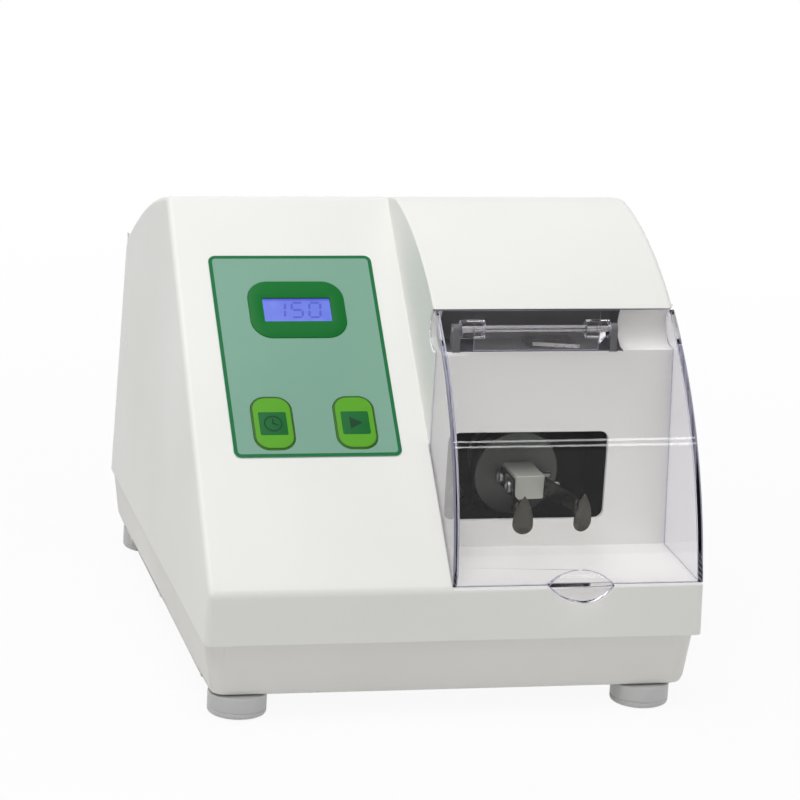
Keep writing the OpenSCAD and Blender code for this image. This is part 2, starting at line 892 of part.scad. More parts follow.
module foot(xy) {
  low_z = -part_z + pad_out;
  seat = foot_screw_seat;
  color("silver") in_case() translate([xy[0], xy[1], 0]) rotate_extrude() difference() {
    union() {
      translate([0, low_z + foot_edge]) square([foot_d / 2, -tray_h - low_z - foot_edge]);
      translate([0, low_z]) square([foot_d / 2 - foot_edge, foot_edge + 1]);
      translate([foot_d / 2 - foot_edge, low_z + foot_edge]) circle(foot_edge);
    }
    translate([-foot_d, low_z - 1]) square([foot_d, foot_h]);
    translate([0, seat - 1]) square([case_screw_d / 2 + fit, foot_h]);
    translate([0, low_z - 1]) square([pad_hole_d / 2 - 0.5, seat - low_z + 1]);
    translate([0, low_z - 1]) square([pad_d / 2 + fit, pad_sunk + 1]);
  }
}

module front_left_foot() {
  foot(foot_xy[0]);
}

module front_right_foot() {
  foot(foot_xy[1]);
}

module rear_left_foot() {
  foot(foot_xy[2]);
}

module rear_right_foot() {
  foot(foot_xy[3]);
}

module foot_pads() {
  color("dimgray") in_case() at_feet()
    translate([0, 0, -part_z]) tube(pad_d, pad_hole_d, pad_out + pad_sunk);
}

module foot_screws() {
  color("silver") in_case() at_feet()
    translate([0, 0, foot_screw_seat]) mirror([0, 0, 1]) screw(case_screw_d, foot_screw_l);
}

module case_screws() {
  color("silver") in_case() at_case_screws()
    translate([0, 0, tray_head_z]) mirror([0, 0, 1]) screw(case_screw_d, case_screw_l);
}

// Level outline of the tray, drawn in by a distance on every side.
module tray_2d(inset) {
  r = max(rear_corner_r - inset, 2);
  translate([0, body_d / 2])
    rounded_square([body_w - 2 * inset, body_d - 2 * inset], r, $fn = 32);
}

module tray_form(inset, low_z, edge) {
  top = tray_step + inset;
  hull() {
    translate([0, 0, -0.01]) linear_extrude(0.01) tray_2d(top);
    translate([0, 0, low_z + edge]) linear_extrude(0.01) tray_2d(top + tray_taper);
    translate([0, 0, low_z + edge * 0.3])
      linear_extrude(0.01) tray_2d(top + tray_taper + edge * 0.3);
    translate([0, 0, low_z]) linear_extrude(0.01) tray_2d(top + tray_taper + edge);
  }
}

// Slanted flat on a side of the tray, from the top front corner to the bottom edge.
module tray_flat_cut(side) {
  run = 70;
  fall = atan(tray_h / run);
  scale([side, 1, 1]) translate([body_w / 2 - tray_step, 0, 0])
    rotate([0, atan(tray_taper / tray_h), 0]) rotate([-fall, 0, 0])
      rotate([0, atan(tray_flat / (tray_h * cos(fall))), 0])
        translate([0, -run, -2 * tray_h]) cube([30, 3 * run, 2 * tray_h]);
}

// Row of air slots across the tray's floor, from y0 on.
module tray_slots(xs, y0, y1) {
  for (y = [y0:tray_slot_pitch:y1])
    slab([xs[0], y, -tray_h - 1], [xs[1], y + vent_w, tray_floor + 1]);
}

module base_tray() {
  tongue_out = wall + gap;
  color("gainsboro") in_case() difference() {
    union() {
      difference() {
        tray_form(0, -tray_h, tray_edge);
        translate([0, 0, 0.01]) tray_form(wall, tray_floor, tray_edge);
        for (side = [-1, 1]) tray_flat_cut(side);
      }
      translate([0, 0, -1.5]) linear_extrude(tongue_h + 1.5) difference() {
        tray_2d(tongue_out);
        tray_2d(tongue_out + 1.5);
      }
      at_case_screws() translate([0, 0, -tray_h]) cylinder(d = 12, h = tray_h);
      at_feet() translate([0, 0, tray_floor - 0.5]) cylinder(d = boss_d, h = foot_boss_h);
      at_mounts() translate([0, 0, tray_floor - mount_z - 0.5])
        cylinder(d = boss_d, h = mount_z - mount_flange_t - tray_floor + 0.5);
      at_power_holes() translate([0, 0, tray_floor - 0.5])
        cylinder(d = 7, h = power_z - tray_floor + 0.5);
    }
    at_case_screws() {
      translate([0, 0, 1]) pilot(case_screw_d, tray_h + 2);
      translate([0, 0, -tray_h - 1]) cylinder(d = 2 * case_screw_d + 0.2, h = 9);
    }
    at_feet() translate([0, 0, tray_floor + foot_boss_h - 2]) pilot(case_screw_d, foot_boss_h + 4);
    at_mounts() pilot(mount_screw_d, mount_flange_t + 10);
    at_power_holes() translate([0, 0, power_z]) pilot(power_screw_d, 6.5);
    tray_slots([power_x[0] + 26, power_x[1] - 11], power_y[1] + 18, power_y[1] + 82);
    tray_slots([mount_xs[0] + 12, mount_xs[1] - 12], mount_ys[0] + 10, mount_ys[1] - 12);
  }
}

module window_liner() {
  color("black") in_case() along_y(bay_d + wall, pivot_y + bracket_b - gap) difference() {
    translate([liner_x[0], liner_z[0]])
      square([liner_x[1] - liner_x[0], liner_z[1] - liner_z[0]]);
    translate([liner_x[0] + liner_t, liner_z[0] + liner_t])
      square([liner_x[1] - liner_x[0] - 2 * liner_t, liner_z[1] - liner_z[0] - 2 * liner_t]);
  }
}

module motor_bracket() {
  plate_y = pivot_y + bracket_b;
  color("silver") in_case() difference() {
    union() {
      slab([plate_x0, plate_y, mount_z], [plate_x1, plate_y + bracket_t, plate_z1]);
      slab([plate_x0, plate_y, mount_z], [plate_x1, plate_back, mount_z + bracket_t]);
      for (x = [plate_x0, plate_x1 - bracket_t])
        along_x(x, x + bracket_t)
          polygon([[plate_y, mount_z], [plate_back, mount_z],
            [plate_back, mount_z + 10], [plate_y, plate_z1 - 20]]);
    }
    on_shaft() {
      translate([0, 0, bracket_b - 1]) cylinder(d = bell_spigot_d + 2 * fit, h = bracket_t + 2);
      at_motor_bolts(bracket_b - 1) cylinder(d = motor_bolt_d + 2 * fit, h = bracket_t + 2);
    }
    at_mounts() translate([0, 0, -1]) cylinder(d = mount_neck_d + 2 * fit, h = bracket_t + 2);
    at_fork_screws() rotate([90, 0, 0]) pilot(fork_screw_d, fork_base_t + bracket_t + 1);
  }
}

module at_fork_screws() {
  for (side = [-1, 1])
    translate([shaft_x + side * fork_screw_x, pivot_y + bracket_b - fork_base_t, fork_z])
      children();
}

module rubber_mounts() {
  color("dimgray") in_case() at_mounts() rotate_extrude() {
    bore = mount_screw_d / 2 + fit;
    translate([bore, -mount_flange_t])
      square([mount_neck_d / 2 - bore, bracket_t + 2 * mount_flange_t]);
    for (z = [-mount_flange_t, bracket_t])
      translate([bore, z]) square([mount_flange_d / 2 - bore, mount_flange_t]);
  }
}

module bracket_screws() {
  color("silver") in_case() at_mounts()
    translate([0, 0, bracket_t + mount_flange_t])
      screw(mount_screw_d, bracket_t + 2 * mount_flange_t + mount_bite);
}

// End bell of the motor, with its bearing seat, vents and locating spigot.
module bell() {
  difference() {
    union() {
      difference() {
        translate([0, 0, bell_b]) cylinder(d = motor_d, h = bell_l);
        translate([0, 0, bell_b + bell_t]) cylinder(d = motor_d - 2 * bell_rim, h = bell_l);
        for (turn = [0:90:270])
          rotate([0, 0, turn])
            translate([0, -bell_vent_w / 2, bell_b + bell_t + 2])
              cube([motor_d, bell_vent_w, bell_l - bell_t - 5]);
      }
      translate([0, 0, bell_b - bell_spigot_h])
        cylinder(d = bell_spigot_d, h = bell_spigot_h + bell_t);
      translate([0, 0, bell_b]) cylinder(d = bearing_d + 5, h = bearing_w);
    }
    translate([0, 0, bell_b - 0.5]) cylinder(d = bearing_d + 2 * fit, h = bearing_w + 1);
    translate([0, 0, bell_b - 3]) cylinder(d = shaft_d + 4, h = bell_l);
    at_motor_bolts(bell_b - 1) cylinder(d = motor_bolt_d + 2 * fit, h = bell_l + 2);
  }
}

module at_rear_bell() {
  translate([0, 0, 2 * motor_mid]) mirror([0, 0, 1]) children();
}

module motor_bearing() {
  translate([0, 0, bell_b - 0.5]) tube(bearing_d, shaft_d + 2 * fit, bearing_w);
}

module motor_front_bell() {
  color("gray") in_case() on_shaft() bell();
}

module motor_rear_bell() {
  color("gray") in_case() on_shaft() at_rear_bell() bell();
}

module front_bearing() {
  color("silver") in_case() on_shaft() motor_bearing();
}

module rear_bearing() {
  color("silver") in_case() on_shaft() at_rear_bell() motor_bearing();
}

module at_slots() {
  for (turn = [0:360 / slots:359]) rotate([0, 0, turn]) children();
}

module stator_core() {
  color("slategray") in_case() on_shaft() difference() {
    translate([0, 0, stator_b]) tube(motor_d, rotor_d + 2 * air_gap, stator_l);
    at_slots() translate([coil_r0 - gap, -slot_w / 2, stator_b - 1])
      cube([coil_r1 - coil_r0 + 2 * gap - 1, slot_w, stator_l + 2]);
    at_motor_bolts(stator_b - 1) cylinder(d = motor_bolt_d + 2 * fit, h = stator_l + 2);
  }
}

module stator_coils() {
  color("peru") in_case() on_shaft() {
    for (b = [stator_b - coil_out, stator_b + stator_l + gap])
      translate([0, 0, b]) rotate_extrude()
        translate([(coil_r0 + coil_r1) / 2, (coil_out - gap) / 2])
          rounded_square([coil_r1 - coil_r0, coil_out - gap], 2);
    at_slots() translate([coil_r0, gap - slot_w / 2, stator_b - 1])
      cube([coil_r1 - coil_r0 - 1, slot_w - 2 * gap, stator_l + 2]);
  }
}

module rotor_core() {
  color("lightgray") in_case() on_shaft() difference() {
    union() {
      translate([0, 0, stator_b + 0.5]) cylinder(d = rotor_d, h = stator_l - 1);
      translate([0, 0, stator_b - 3]) cylinder(d = rotor_d - 3, h = stator_l + 6);
      for (turn = [0:45:315])
        rotate([0, 0, turn])
          translate([shaft_d, -0.8, stator_b - 6]) cube([rotor_d / 2 - shaft_d - 2, 1.6, stator_l + 12]);
    }
    translate([0, 0, stator_b - 7]) cylinder(d = shaft_d + 2 * fit, h = stator_l + 14);
  }
}

module motor_shaft() {
  color("silver") in_case() on_shaft()
    translate([0, 0, shaft_b0]) cylinder(d = shaft_d, h = fan_b + fan_w + 1 - shaft_b0);
}

module cooling_fan() {
  color("darkslategray") in_case() on_shaft() translate([0, 0, fan_b]) difference() {
    union() {
      cylinder(d = fan_d, h = 1.5);
      cylinder(d = 2 * shaft_d, h = fan_w);
      for (turn = [0:360 / blades:359])
        rotate([0, 0, turn]) translate([shaft_d - 1, -0.75, 0])
          cube([fan_d / 2 - shaft_d, 1.5, fan_w - 1]);
    }
    translate([0, 0, -1]) cylinder(d = shaft_d + 2 * fit, h = fan_w + 2);
  }
}

module motor_bolts() {
  nut_w = 5.5;
  bolt_l = motor_back - bracket_b + 2.2;
  color("silver") in_case() on_shaft() at_motor_bolts(bracket_b) {
    mirror([0, 0, 1]) screw(motor_bolt_d, bolt_l);
    translate([0, 0, motor_back - bracket_b]) cylinder(d = nut_w / cos(30), h = 2.2, $fn = 6);
  }
}

// Hub with its skewed spigot, which turns the shaft's spin into a swing.
module swing_hub() {
  spigot_back = hub_front + 1.5;
  color("silver") in_case() difference() {
    union() {
      on_shaft() translate([0, 0, hub_front]) cylinder(d = hub_d, h = hub_back - hub_front);
      on_swing() {
        translate([0, 0, -spigot_back])
          cylinder(d = spigot_d, h = spigot_back + swing_bearing_w / 2 - 0.2);
        translate([0, 0, -spigot_back])
          cylinder(d = shoulder_d, h = spigot_back - swing_bearing_w / 2);
      }
    }
    on_shaft() translate([0, 0, shaft_b0 - 0.1]) cylinder(d = shaft_d + 2 * fit, h = hub_back);
    on_swing() translate([0, 0, swing_bearing_w / 2]) pilot(hub_screw_d, 8);
  }
}

module hub_screw() {
  color("silver") in_case() on_swing()
    translate([0, 0, swing_bearing_w / 2]) screw(hub_screw_d, 7, spigot_d + 3, 2.6);
}

module race(outer_d, inner_d) {
  difference() {
    translate([0, 0, -swing_bearing_w / 2]) tube(outer_d, inner_d, swing_bearing_w);
    rotate_extrude() translate([ball_r, 0]) circle(ball_d / 2 + fit);
  }
}

module swing_bearing_inner() {
  color("silver") in_case() on_swing() race(2 * ball_r - 2 * race_gap, spigot_d + 2 * fit);
}

module swing_bearing_outer() {
  color("silver") in_case() on_swing() race(swing_bearing_d, 2 * ball_r + 2 * race_gap);
}

module bearing_balls() {
  color("silver") in_case() on_swing()
    for (turn = [0:360 / balls:359]) rotate([0, 0, turn]) translate([ball_r, 0, 0])
      sphere(d = ball_d);
}

module swing_disc() {
  half = swing_bearing_w / 2;
  color("dimgray") in_case() on_swing() difference() {
    union() {
      translate([0, 0, -housing_back]) cylinder(d = housing_d, h = housing_back + disc_f + 1);
      translate([0, 0, disc_f]) cylinder(d = disc_d, h = disc_t);
    }
    translate([0, 0, -housing_back - 1])
      cylinder(d = swing_bearing_d + 2 * fit, h = housing_back + half + 1);
    translate([0, 0, 0]) cylinder(d = swing_bearing_d - 5, h = disc_f);
    rotate([90, 0, 0]) translate([0, 0, swing_bearing_d / 2 + 0.6])
      cylinder(d = guide_pin_d + 2 * fit, h = guide_pin_r);
  }
}

module guide_pin() {
  color("silver") in_case() on_swing() rotate([90, 0, 0])
    translate([0, 0, swing_bearing_d / 2 + 0.7])
      cylinder(d = guide_pin_d, h = guide_pin_r - swing_bearing_d / 2 - 0.7);
}

// Fork on the bracket that keeps the guide pin, and so the holder, from turning.
module guide_fork() {
  front = pivot_y - fork_reach;
  back = pivot_y + bracket_b;
  low_z = liner_z[0] + liner_t + fork_gap;
  inner = guide_pin_d / 2 + fork_gap;
  color("darkgray") in_case() difference() {
    union() {
      slab([shaft_x - fork_screw_x - 4, back - fork_base_t, low_z],
        [shaft_x + fork_screw_x + 4, back, shaft_z - hub_d / 2 - 1]);
      for (x = [shaft_x - inner - prong_w, shaft_x + inner])
        slab([x, front, low_z], [x + prong_w, back - 1, low_z + 7]);
    }
    at_fork_screws() rotate([90, 0, 0]) pilot(fork_screw_d, fork_base_t + 1);
  }
}

module fork_screws() {
  color("silver") in_case() at_fork_screws()
    rotate([90, 0, 0]) screw(fork_screw_d, fork_base_t + bracket_t - 0.4);
}

module holder_block() {
  color("darkgray") in_case() on_swing() difference() {
    translate([0, 0, disc_front]) rounded_slab([block_w, block_h], 1, block_l);
    at_clip_screws() translate([-block_w, 0, 0]) rotate([0, 90, 0])
      cylinder(d = clip_screw_d + 2 * fit, h = 2 * block_w);
  }
}

module at_clip_screws() {
  for (f = clip_screw_fs) translate([0, 0, f]) children();
}

// Outline of a clip's finger tab, pointed above and round below.
module leaf_2d() {
  tall = leaf_h - leaf_w / 2;
  r = (pow(leaf_w / 2, 2) + pow(tall, 2)) / leaf_w;
  translate([0, leaf_w / 2 - leaf_h / 2]) {
    circle(leaf_w / 2);
    intersection() {
      intersection_for(side = [-1, 1])
        translate([side * (r - leaf_w / 2), 0]) circle(r, $fn = 120);
      translate([-leaf_w, 0]) square(2 * leaf_h);
    }
  }
}

// Right arm of the holder's clip, with a hole that seats the capsule's end.
module clip_arm() {
  far_in = clip_gap / 2;
  outline = [[clip_in, clip_f0], [clip_in, block_f], [far_in, clip_bend], [far_in, clip_far]];
  outer = [for (i = [3:-1:0]) outline[i] + [clip_t, i == 1 || i == 2 ? -clip_t / 4 : 0]];
  difference() {
    union() {
      intersection() {
        rotate([90, 0, 0]) linear_extrude(2 * clip_h, center = true)
          polygon(concat(outline, outer));
        rotate([90, 0, 90]) linear_extrude(2 * clip_gap, center = true)
          polygon([[-clip_h / 2, 0], [clip_h / 2, 0], [clip_h / 2, block_f],
            [clip_h / 2 - 0.8, clip_far + 5], [-clip_h / 2 + 0.8, clip_far + 5],
            [-clip_h / 2, block_f]]);
      }
      translate([far_in + clip_t / 2, 0, clip_far]) rotate([0, leaf_turn, 0])
        translate([0, 0, -clip_t / 2]) linear_extrude(clip_t) leaf_2d();
    }
    at_clip_screws() rotate([0, 90, 0])
      cylinder(d = clip_screw_d + 2 * clip_screw_room, h = block_w);
    translate([0, 0, hold_f]) rotate([0, 90, 0]) cylinder(d = hold_d, h = clip_gap);
  }
}

module left_clip() {
  color("gainsboro") in_case() on_swing() mirror([1, 0, 0]) clip_arm();
}

module right_clip() {
  color("gainsboro") in_case() on_swing() clip_arm();
}

module clip_screws() {
  reach = clip_in + clip_t + clip_screw_room;
  color("silver") in_case() on_swing() at_clip_screws()
    translate([-reach, 0, 0]) rotate([0, -90, 0]) screw(clip_screw_d, 2 * reach + clip_tip);
}

// Microswitch that the cover's leaf presses when the cover is shut.
module cover_switch() {
  color("black") in_case() {
    slab([lever_x[0] - 2, micro_y, recess_z], [lever_x[1], micro_y + micro_l, recess_z + micro_h]);
    slab([lever_x[0] - 1, lever_y - 0.6, recess_z + 0.6],
      [lever_x[0] + 1, micro_y + 0.1, lever_low - 0.1]);
  }
}

module switch_lever() {
  tip_y = hinge_y + leaf_back + gap;
  color("silver") in_case() translate([0, 0, lever_low]) linear_extrude(lever_h) {
    polygon([[lever_x[0], lever_y], [lever_x[1] - 2, tip_y + 1], [lever_x[1], tip_y + lever_t],
      [lever_x[1] + 1.5, tip_y + 1.6], [lever_x[1] + 1.5, tip_y + 1],
      [lever_x[1], tip_y], [lever_x[1] - 2, tip_y + 1 - lever_t], [lever_x[0], lever_y - lever_t]]);
  }
}

module inlet_cut(room) {
  translate([0, 0, -1]) linear_extrude(2 * wall + 2)
    square([inlet_body[0] + 2 * room, inlet_body[1] + 2 * room], center = true);
}

module rocker_cut(room) {
  translate([0, 0, -1]) linear_extrude(2 * wall + 2)
    square([rocker_w + 2 * rocker_frame + 2 * room, rocker_h + 2 * rocker_frame + 2 * room],
      center = true);
}

module socket_2d(grow) {
  w = socket[0] / 2 + grow;
  h = socket[1] / 2 + grow;
  cut = 4.5;
  polygon([[-w, -h], [w, -h], [w, h - cut], [w - cut, h], [cut - w, h], [-w, h - cut]]);
}

module power_inlet() {
  color("black") in_case() on_rear(inlet_x, inlet_z) difference() {
    union() {
      translate([0, 0, -flange_t]) rounded_slab([inlet_w, inlet_h], 4, flange_t);
      linear_extrude(socket_deep + 3) square(inlet_body, center = true);
    }
    translate([0, 0, -flange_t - 1]) linear_extrude(socket_deep + 1) socket_2d(0);
    for (side = [-1, 1])
      translate([side * inlet_screw_x, 0, -flange_t - 1])
        cylinder(d = inlet_screw_d + 2 * fit, h = flange_t + 2);
    at_inlet_pins() translate([-1 - fit, -2 - fit, 0])
      cube([2 + 2 * fit, 4 + 2 * fit, socket_deep + 10]);
  }
}

module at_inlet_pins() {
  for (place = [[-7, -2], [0, 2], [7, -2]]) translate([place[0], place[1], 0]) children();
}

module inlet_pins() {
  color("silver") in_case() on_rear(inlet_x, inlet_z) at_inlet_pins()
    translate([-1, -2, 0.5]) cube([2, 4, socket_deep + 9]);
}

module inlet_screws() {
  color("silver") in_case() on_rear(inlet_x, inlet_z) for (side = [-1, 1])
    translate([side * inlet_screw_x, 0, -flange_t]) mirror([0, 0, 1])
      screw(inlet_screw_d, flange_t + inlet_bite, inlet_head_d, inlet_head_d / 4);
}

module switch_frame() {
  outer = [rocker_w + 2 * rocker_frame, rocker_h + 2 * rocker_frame];
  color("black") in_case() on_rear(rocker_x, inlet_z) difference() {
    union() {
      translate([0, 0, -flange_t]) rounded_slab([outer[0] + 3, outer[1] + 3], 2, flange_t);
      linear_extrude(rocker_h) square(outer, center = true);
    }
    translate([0, 0, -flange_t - 1]) linear_extrude(rocker_h)
      square([rocker_w + 2 * rocker_room, rocker_h + 2 * rocker_room], center = true);
    translate([-outer[0], 0, rocker_in]) rotate([0, 90, 0])
      cylinder(d = 3 + 2 * fit, h = 2 * outer[0]);
  }
}

module switch_rocker() {
  reach = rocker_h / 2;
  corner = reach * [cos(rocker_peak), sin(rocker_peak)];
  color("dimgray") in_case() on_rear(rocker_x, inlet_z) translate([0, 0, rocker_in]) {
    rotate([rocker_tilt, 0, 0]) rotate([90, 0, 90]) linear_extrude(rocker_w, center = true)
      intersection() {
        circle(reach);
        polygon([[-reach, 4], [-reach, 0], -corner, [0, 2.5 - corner[1]],
          [corner[0], -corner[1]], [reach, 0], [reach, 4]]);
      }
    rotate([0, 90, 0]) cylinder(d = 3, h = rocker_w + 2 * rocker_frame - 1, center = true);
  }
}

module power_board() {
  color("darkgreen") in_case() difference() {
    slab([power_x[0], power_y[0], power_z], [power_x[1], power_y[1], power_top]);
    at_power_holes() translate([0, 0, power_top]) pilot(power_screw_d, board_t + 1);
  }
}

module power_board_screws() {
  color("silver") in_case() at_power_holes() translate([0, 0, power_top])
    screw(power_screw_d, board_t + power_bite);
}

module at_core() {
  translate([core_xy[0], core_xy[1], power_top]) children();
}

module transformer_core() {
  color("slategray") in_case() at_core() rotate([90, 0, 0])
    linear_extrude(core_size[1], center = true) difference() {
      translate([-core_size[0] / 2, 0]) square([core_size[0], core_size[2]]);
      for (side = [-1, 1])
        translate([side * 1.5 * core_leg - core_leg / 2, core_leg])
          square([core_leg, core_size[2] - 2 * core_leg]);
    }
}

module transformer_coil() {
  half = core_size[1] / 2;
  color("peru") in_case() at_core() translate([0, 0, core_leg + gap])
    linear_extrude(core_size[2] - 2 * core_leg - 2 * gap) difference() {
      rounded_square([4 * core_leg - 2 * gap, 2 * half + 2 * core_leg], 3);
      square([2 * core_leg + 2 * fit, 2 * half + 2 * fit], center = true);
    }
}

module capacitors() {
  color("steelblue") in_case()
    for (side = [-1, 1])
      translate([cap_x, core_xy[1] + 1 + side * cap_pitch / 2, power_top]) {
        cylinder(d = cap_d, h = cap_h);
        cylinder(d = cap_d - 2, h = cap_h + 1);
      }
}

module heat_sink() {
  color("silver") in_case() translate([sink_xy[0], sink_xy[1], power_top]) {
    cube([sink_w, sink_t, sink_h]);
    for (i = [0:fins - 1])
      translate([i * (sink_w - fin_t) / (fins - 1), 0, 0]) cube([fin_t, fin_out, sink_h]);
  }
}

upper_shell();
base_tray();
dust_cover();
hinge_pin();
panel_film();
display_frame();
display_module();
set_button();
start_button();
control_board();
button_switches();
board_screws();
front_left_foot();
front_right_foot();
rear_left_foot();
rear_right_foot();
foot_pads();
foot_screws();
case_screws();
window_liner();
motor_bracket();
rubber_mounts();
bracket_screws();
motor_front_bell();
motor_rear_bell();
stator_core();
stator_coils();
rotor_core();
motor_shaft();
front_bearing();
rear_bearing();
cooling_fan();
motor_bolts();
swing_hub();
hub_screw();
swing_bearing_inner();
swing_bearing_outer();
bearing_balls();
swing_disc();
guide_pin();
guide_fork();
fork_screws();
holder_block();
left_clip();
right_clip();
clip_screws();
cover_switch();
switch_lever();
power_inlet();
inlet_pins();
inlet_screws();
switch_frame();
switch_rocker();
power_board();
power_board_screws();
transformer_core();
transformer_coil();
capacitors();
heat_sink();
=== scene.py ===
import json
import math
from functools import partial

import bmesh
import bpy
import numpy as np
from bpy.props import FloatProperty, FloatVectorProperty, PointerProperty
from mathutils import Matrix, Vector


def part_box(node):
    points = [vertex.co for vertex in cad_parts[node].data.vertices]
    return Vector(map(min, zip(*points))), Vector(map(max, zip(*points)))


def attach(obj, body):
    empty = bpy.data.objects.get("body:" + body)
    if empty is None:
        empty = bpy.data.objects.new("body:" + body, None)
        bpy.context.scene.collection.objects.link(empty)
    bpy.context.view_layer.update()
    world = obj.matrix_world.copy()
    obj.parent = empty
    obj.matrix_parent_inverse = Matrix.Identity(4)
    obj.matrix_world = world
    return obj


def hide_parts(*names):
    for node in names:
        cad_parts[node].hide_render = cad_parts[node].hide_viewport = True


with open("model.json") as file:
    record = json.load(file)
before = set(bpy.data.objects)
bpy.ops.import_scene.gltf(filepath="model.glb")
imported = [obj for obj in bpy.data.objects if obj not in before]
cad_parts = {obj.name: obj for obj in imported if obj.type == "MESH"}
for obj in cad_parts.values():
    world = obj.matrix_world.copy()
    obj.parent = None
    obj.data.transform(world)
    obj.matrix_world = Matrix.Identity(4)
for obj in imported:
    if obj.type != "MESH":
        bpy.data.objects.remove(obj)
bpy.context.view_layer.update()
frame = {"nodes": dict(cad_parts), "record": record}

bl_info = {
    "name": "Capsule Mixer Dressing",
    "version": (1, 0, 0),
    "blender": (4, 5, 0),
    "location": "View3D > Sidebar > Capsule Mixer",
    "description": "Dresses the packed capsule mixer with finished surfaces and materials",
    "category": "Object",
}

# Sizes are in millimetres in the case's own frame: X across, Y back from the front
# lip and Z up from the parting line. place() carries them to metres in the row frame.
# A size that ends in _S is measured up the sloped face from its lower edge.
MM = 0.001
BODY_W, BODY_D = 230.0, 278.0
LIP_H, RIDGE_Y, RIDGE_H = 24.3, 168.0, 165.0
DRAFT, FRONT_R, REAR_R = math.radians(1.75), 3.0, 12.0
BAY_X, BAY_D = -3.2, 60.0
HINGE_Y, HINGE_Z = 62.5, 127.485
RECESS_Z = HINGE_Z - 9.8
RECESS_X = (2.0, 86.0)
RECESS_DEPTH = 24.0
ARCH_Y, ARCH_Z, ARCH_R = 165.34, -3.48, 172.0
FOOT_H, FOOT_D, PAD_OUT = 10.5, 26.8, 0.8
PANEL_X, PANEL_S, PANEL_W, PANEL_L, PANEL_T, PANEL_R = -55.4, 71.7, 78.0, 112.6, 0.5, 3.5
FRAME_S, FRAME_W, FRAME_H, FRAME_R = 153.2, 45.6, 32.0, 10.0
LCD_W, LCD_H, DIGIT_LEAN = 32.0, 13.0, 0.1
BUTTON_XS, BUTTON_S = (-74.6, -36.2), 90.0
BUTTON_W, BUTTON_H, BUTTON_R = 19.0, 28.6, 7.0
SHAFT_X, PIVOT_Y, SHAFT_Z = 43.0, 90.0, 55.0
SKEW, SKEW_DIR = math.radians(6.0), math.radians(39.0)
INLET_X, REAR_Z = -70.0, 40.0
FEET = ((-96.5, 14.5), (91.5, 14.5), (-96.5, 252.0), (91.5, 252.0))

# The finger tabs: their middle beside and in front of the pivot, in the holder's frame,
# the angle that they turn outwards, and their width, height and depth of cup.
LEAF_X, LEAF_F, LEAF_TURN = 14.4, 64.0, math.radians(15.0)
LEAF_W, LEAF_H, LEAF_CUP = 9.4, 18.4, 1.4

# Where the screws, the motor's mounts and the power board are, and where the heads seat.
BOARD_SCREW_X, BOARD_SCREW_S, BOARD_MIDDLE_S, BOARD_SEAT = 38.0, 57.5, 131.7, -13.1
CASE_SCREW_X, CASE_SCREW_YS, CASE_SCREW_SEAT = 104.0, (34.0, 145.0, 230.0), -17.8
FOOT_SCREW_SEAT = -29.3
MOUNT_XS, MOUNT_YS, MOUNT_Z, MOUNT_SCREW_SEAT = (12.0, 75.5), (121.0, 179.0), -10.0, -5.0
FORK_SCREW_X, FORK_SCREW_Z, FORK_SEAT = 8.0, 35.9, 104.0
CLIP_SCREW_FS, CLIP_SEAT = (16.0, 28.0), -8.7
INLET_SCREW_X, INLET_SEAT = 20.0, -2.5
POWER_XS, POWER_YS, POWER_TOP = (-91.0, -19.0), (29.0, 127.0), -14.7
BOLT_R, BOLT_SEAT, BOLT_L = 26.3, 18.0, 75.2

# The motor's shaft and its bearings, along the shaft from the pivot backwards.
SHAFT_R, SHAFT_START, SHAFT_END = 4.0, 7.4, 104.0
BEARING_R, BEARING_W, BEARING_STARTS = 11.0, 7.0, (20.5, 84.5)
WINDING_R, WINDING_STARTS, WINDING_H = (17.3, 22.3), (29.5, 74.3), 8.1

SHELL_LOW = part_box("upper_shell")[0]
RECORD = frame["record"]
BODY_OF = {n: b for b, ns in RECORD["behaviour"]["bodies"].items() for n in ns}


def shift(x, y, z):
    """4x4 array that moves a point by (x, y, z)."""
    m = np.eye(4)
    m[:3, 3] = (x, y, z)
    return m


def turn(angle, axis):
    """4x4 array that turns by an angle in radians about an axis through the origin.

    It is the identity, plus the sine times the axis's cross-product matrix, plus one less the cosine times
    that matrix squared.
    """
    a = np.asarray(axis, float) / np.linalg.norm(axis)
    k = np.array([[0, -a[2], a[1]], [a[2], 0, -a[0]], [-a[1], a[0], 0]])
    m = np.eye(4)
    m[:3, :3] += math.sin(angle) * k + (1 - math.cos(angle)) * k @ k
    return m


X_AXIS, Y_AXIS, Z_AXIS = (1, 0, 0), (0, 1, 0), (0, 0, 1)
QUARTER = math.pi / 2
SLOPE_ANGLE = math.atan2(RIDGE_H - LIP_H, RIDGE_Y)
CASE = shift(0, SHELL_LOW.y / MM, SHELL_LOW.z / MM)
SLOPE = CASE @ shift(0, 0, LIP_H) @ turn(SLOPE_ANGLE, X_AXIS)
PIVOT = CASE @ shift(SHAFT_X, PIVOT_Y, SHAFT_Z)
SHAFT = PIVOT @ turn(-QUARTER, X_AXIS)
SWING = PIVOT @ turn(SKEW, (math.sin(SKEW_DIR), 0, math.cos(SKEW_DIR))) @ turn(QUARTER, X_AXIS)
FLIP = turn(math.pi, X_AXIS)


def rear(x):
    """Frame of a part on the rear wall: X across, Y up and Z into the case."""
    return CASE @ shift(x, BODY_D, REAR_Z) @ turn(QUARTER, X_AXIS)


def place(points, where):
    """Points in millimetres in a frame, as metres in the row frame."""
    p = np.asarray(points, float)
    return (p @ where[:3, :3].T + where[:3, 3]) * MM


def srgb(*rgb):
    """Scene-linear colour of three 0-255 values, by the sRGB curve."""
    c = np.asarray(rgb, float) / 255
    return tuple(np.where(c <= 0.04045, c / 12.92, ((c + 0.055) / 1.055) ** 2.4))


# Surfaces. Each is (points, faces): an (n, 3) array and a list of index arrays.


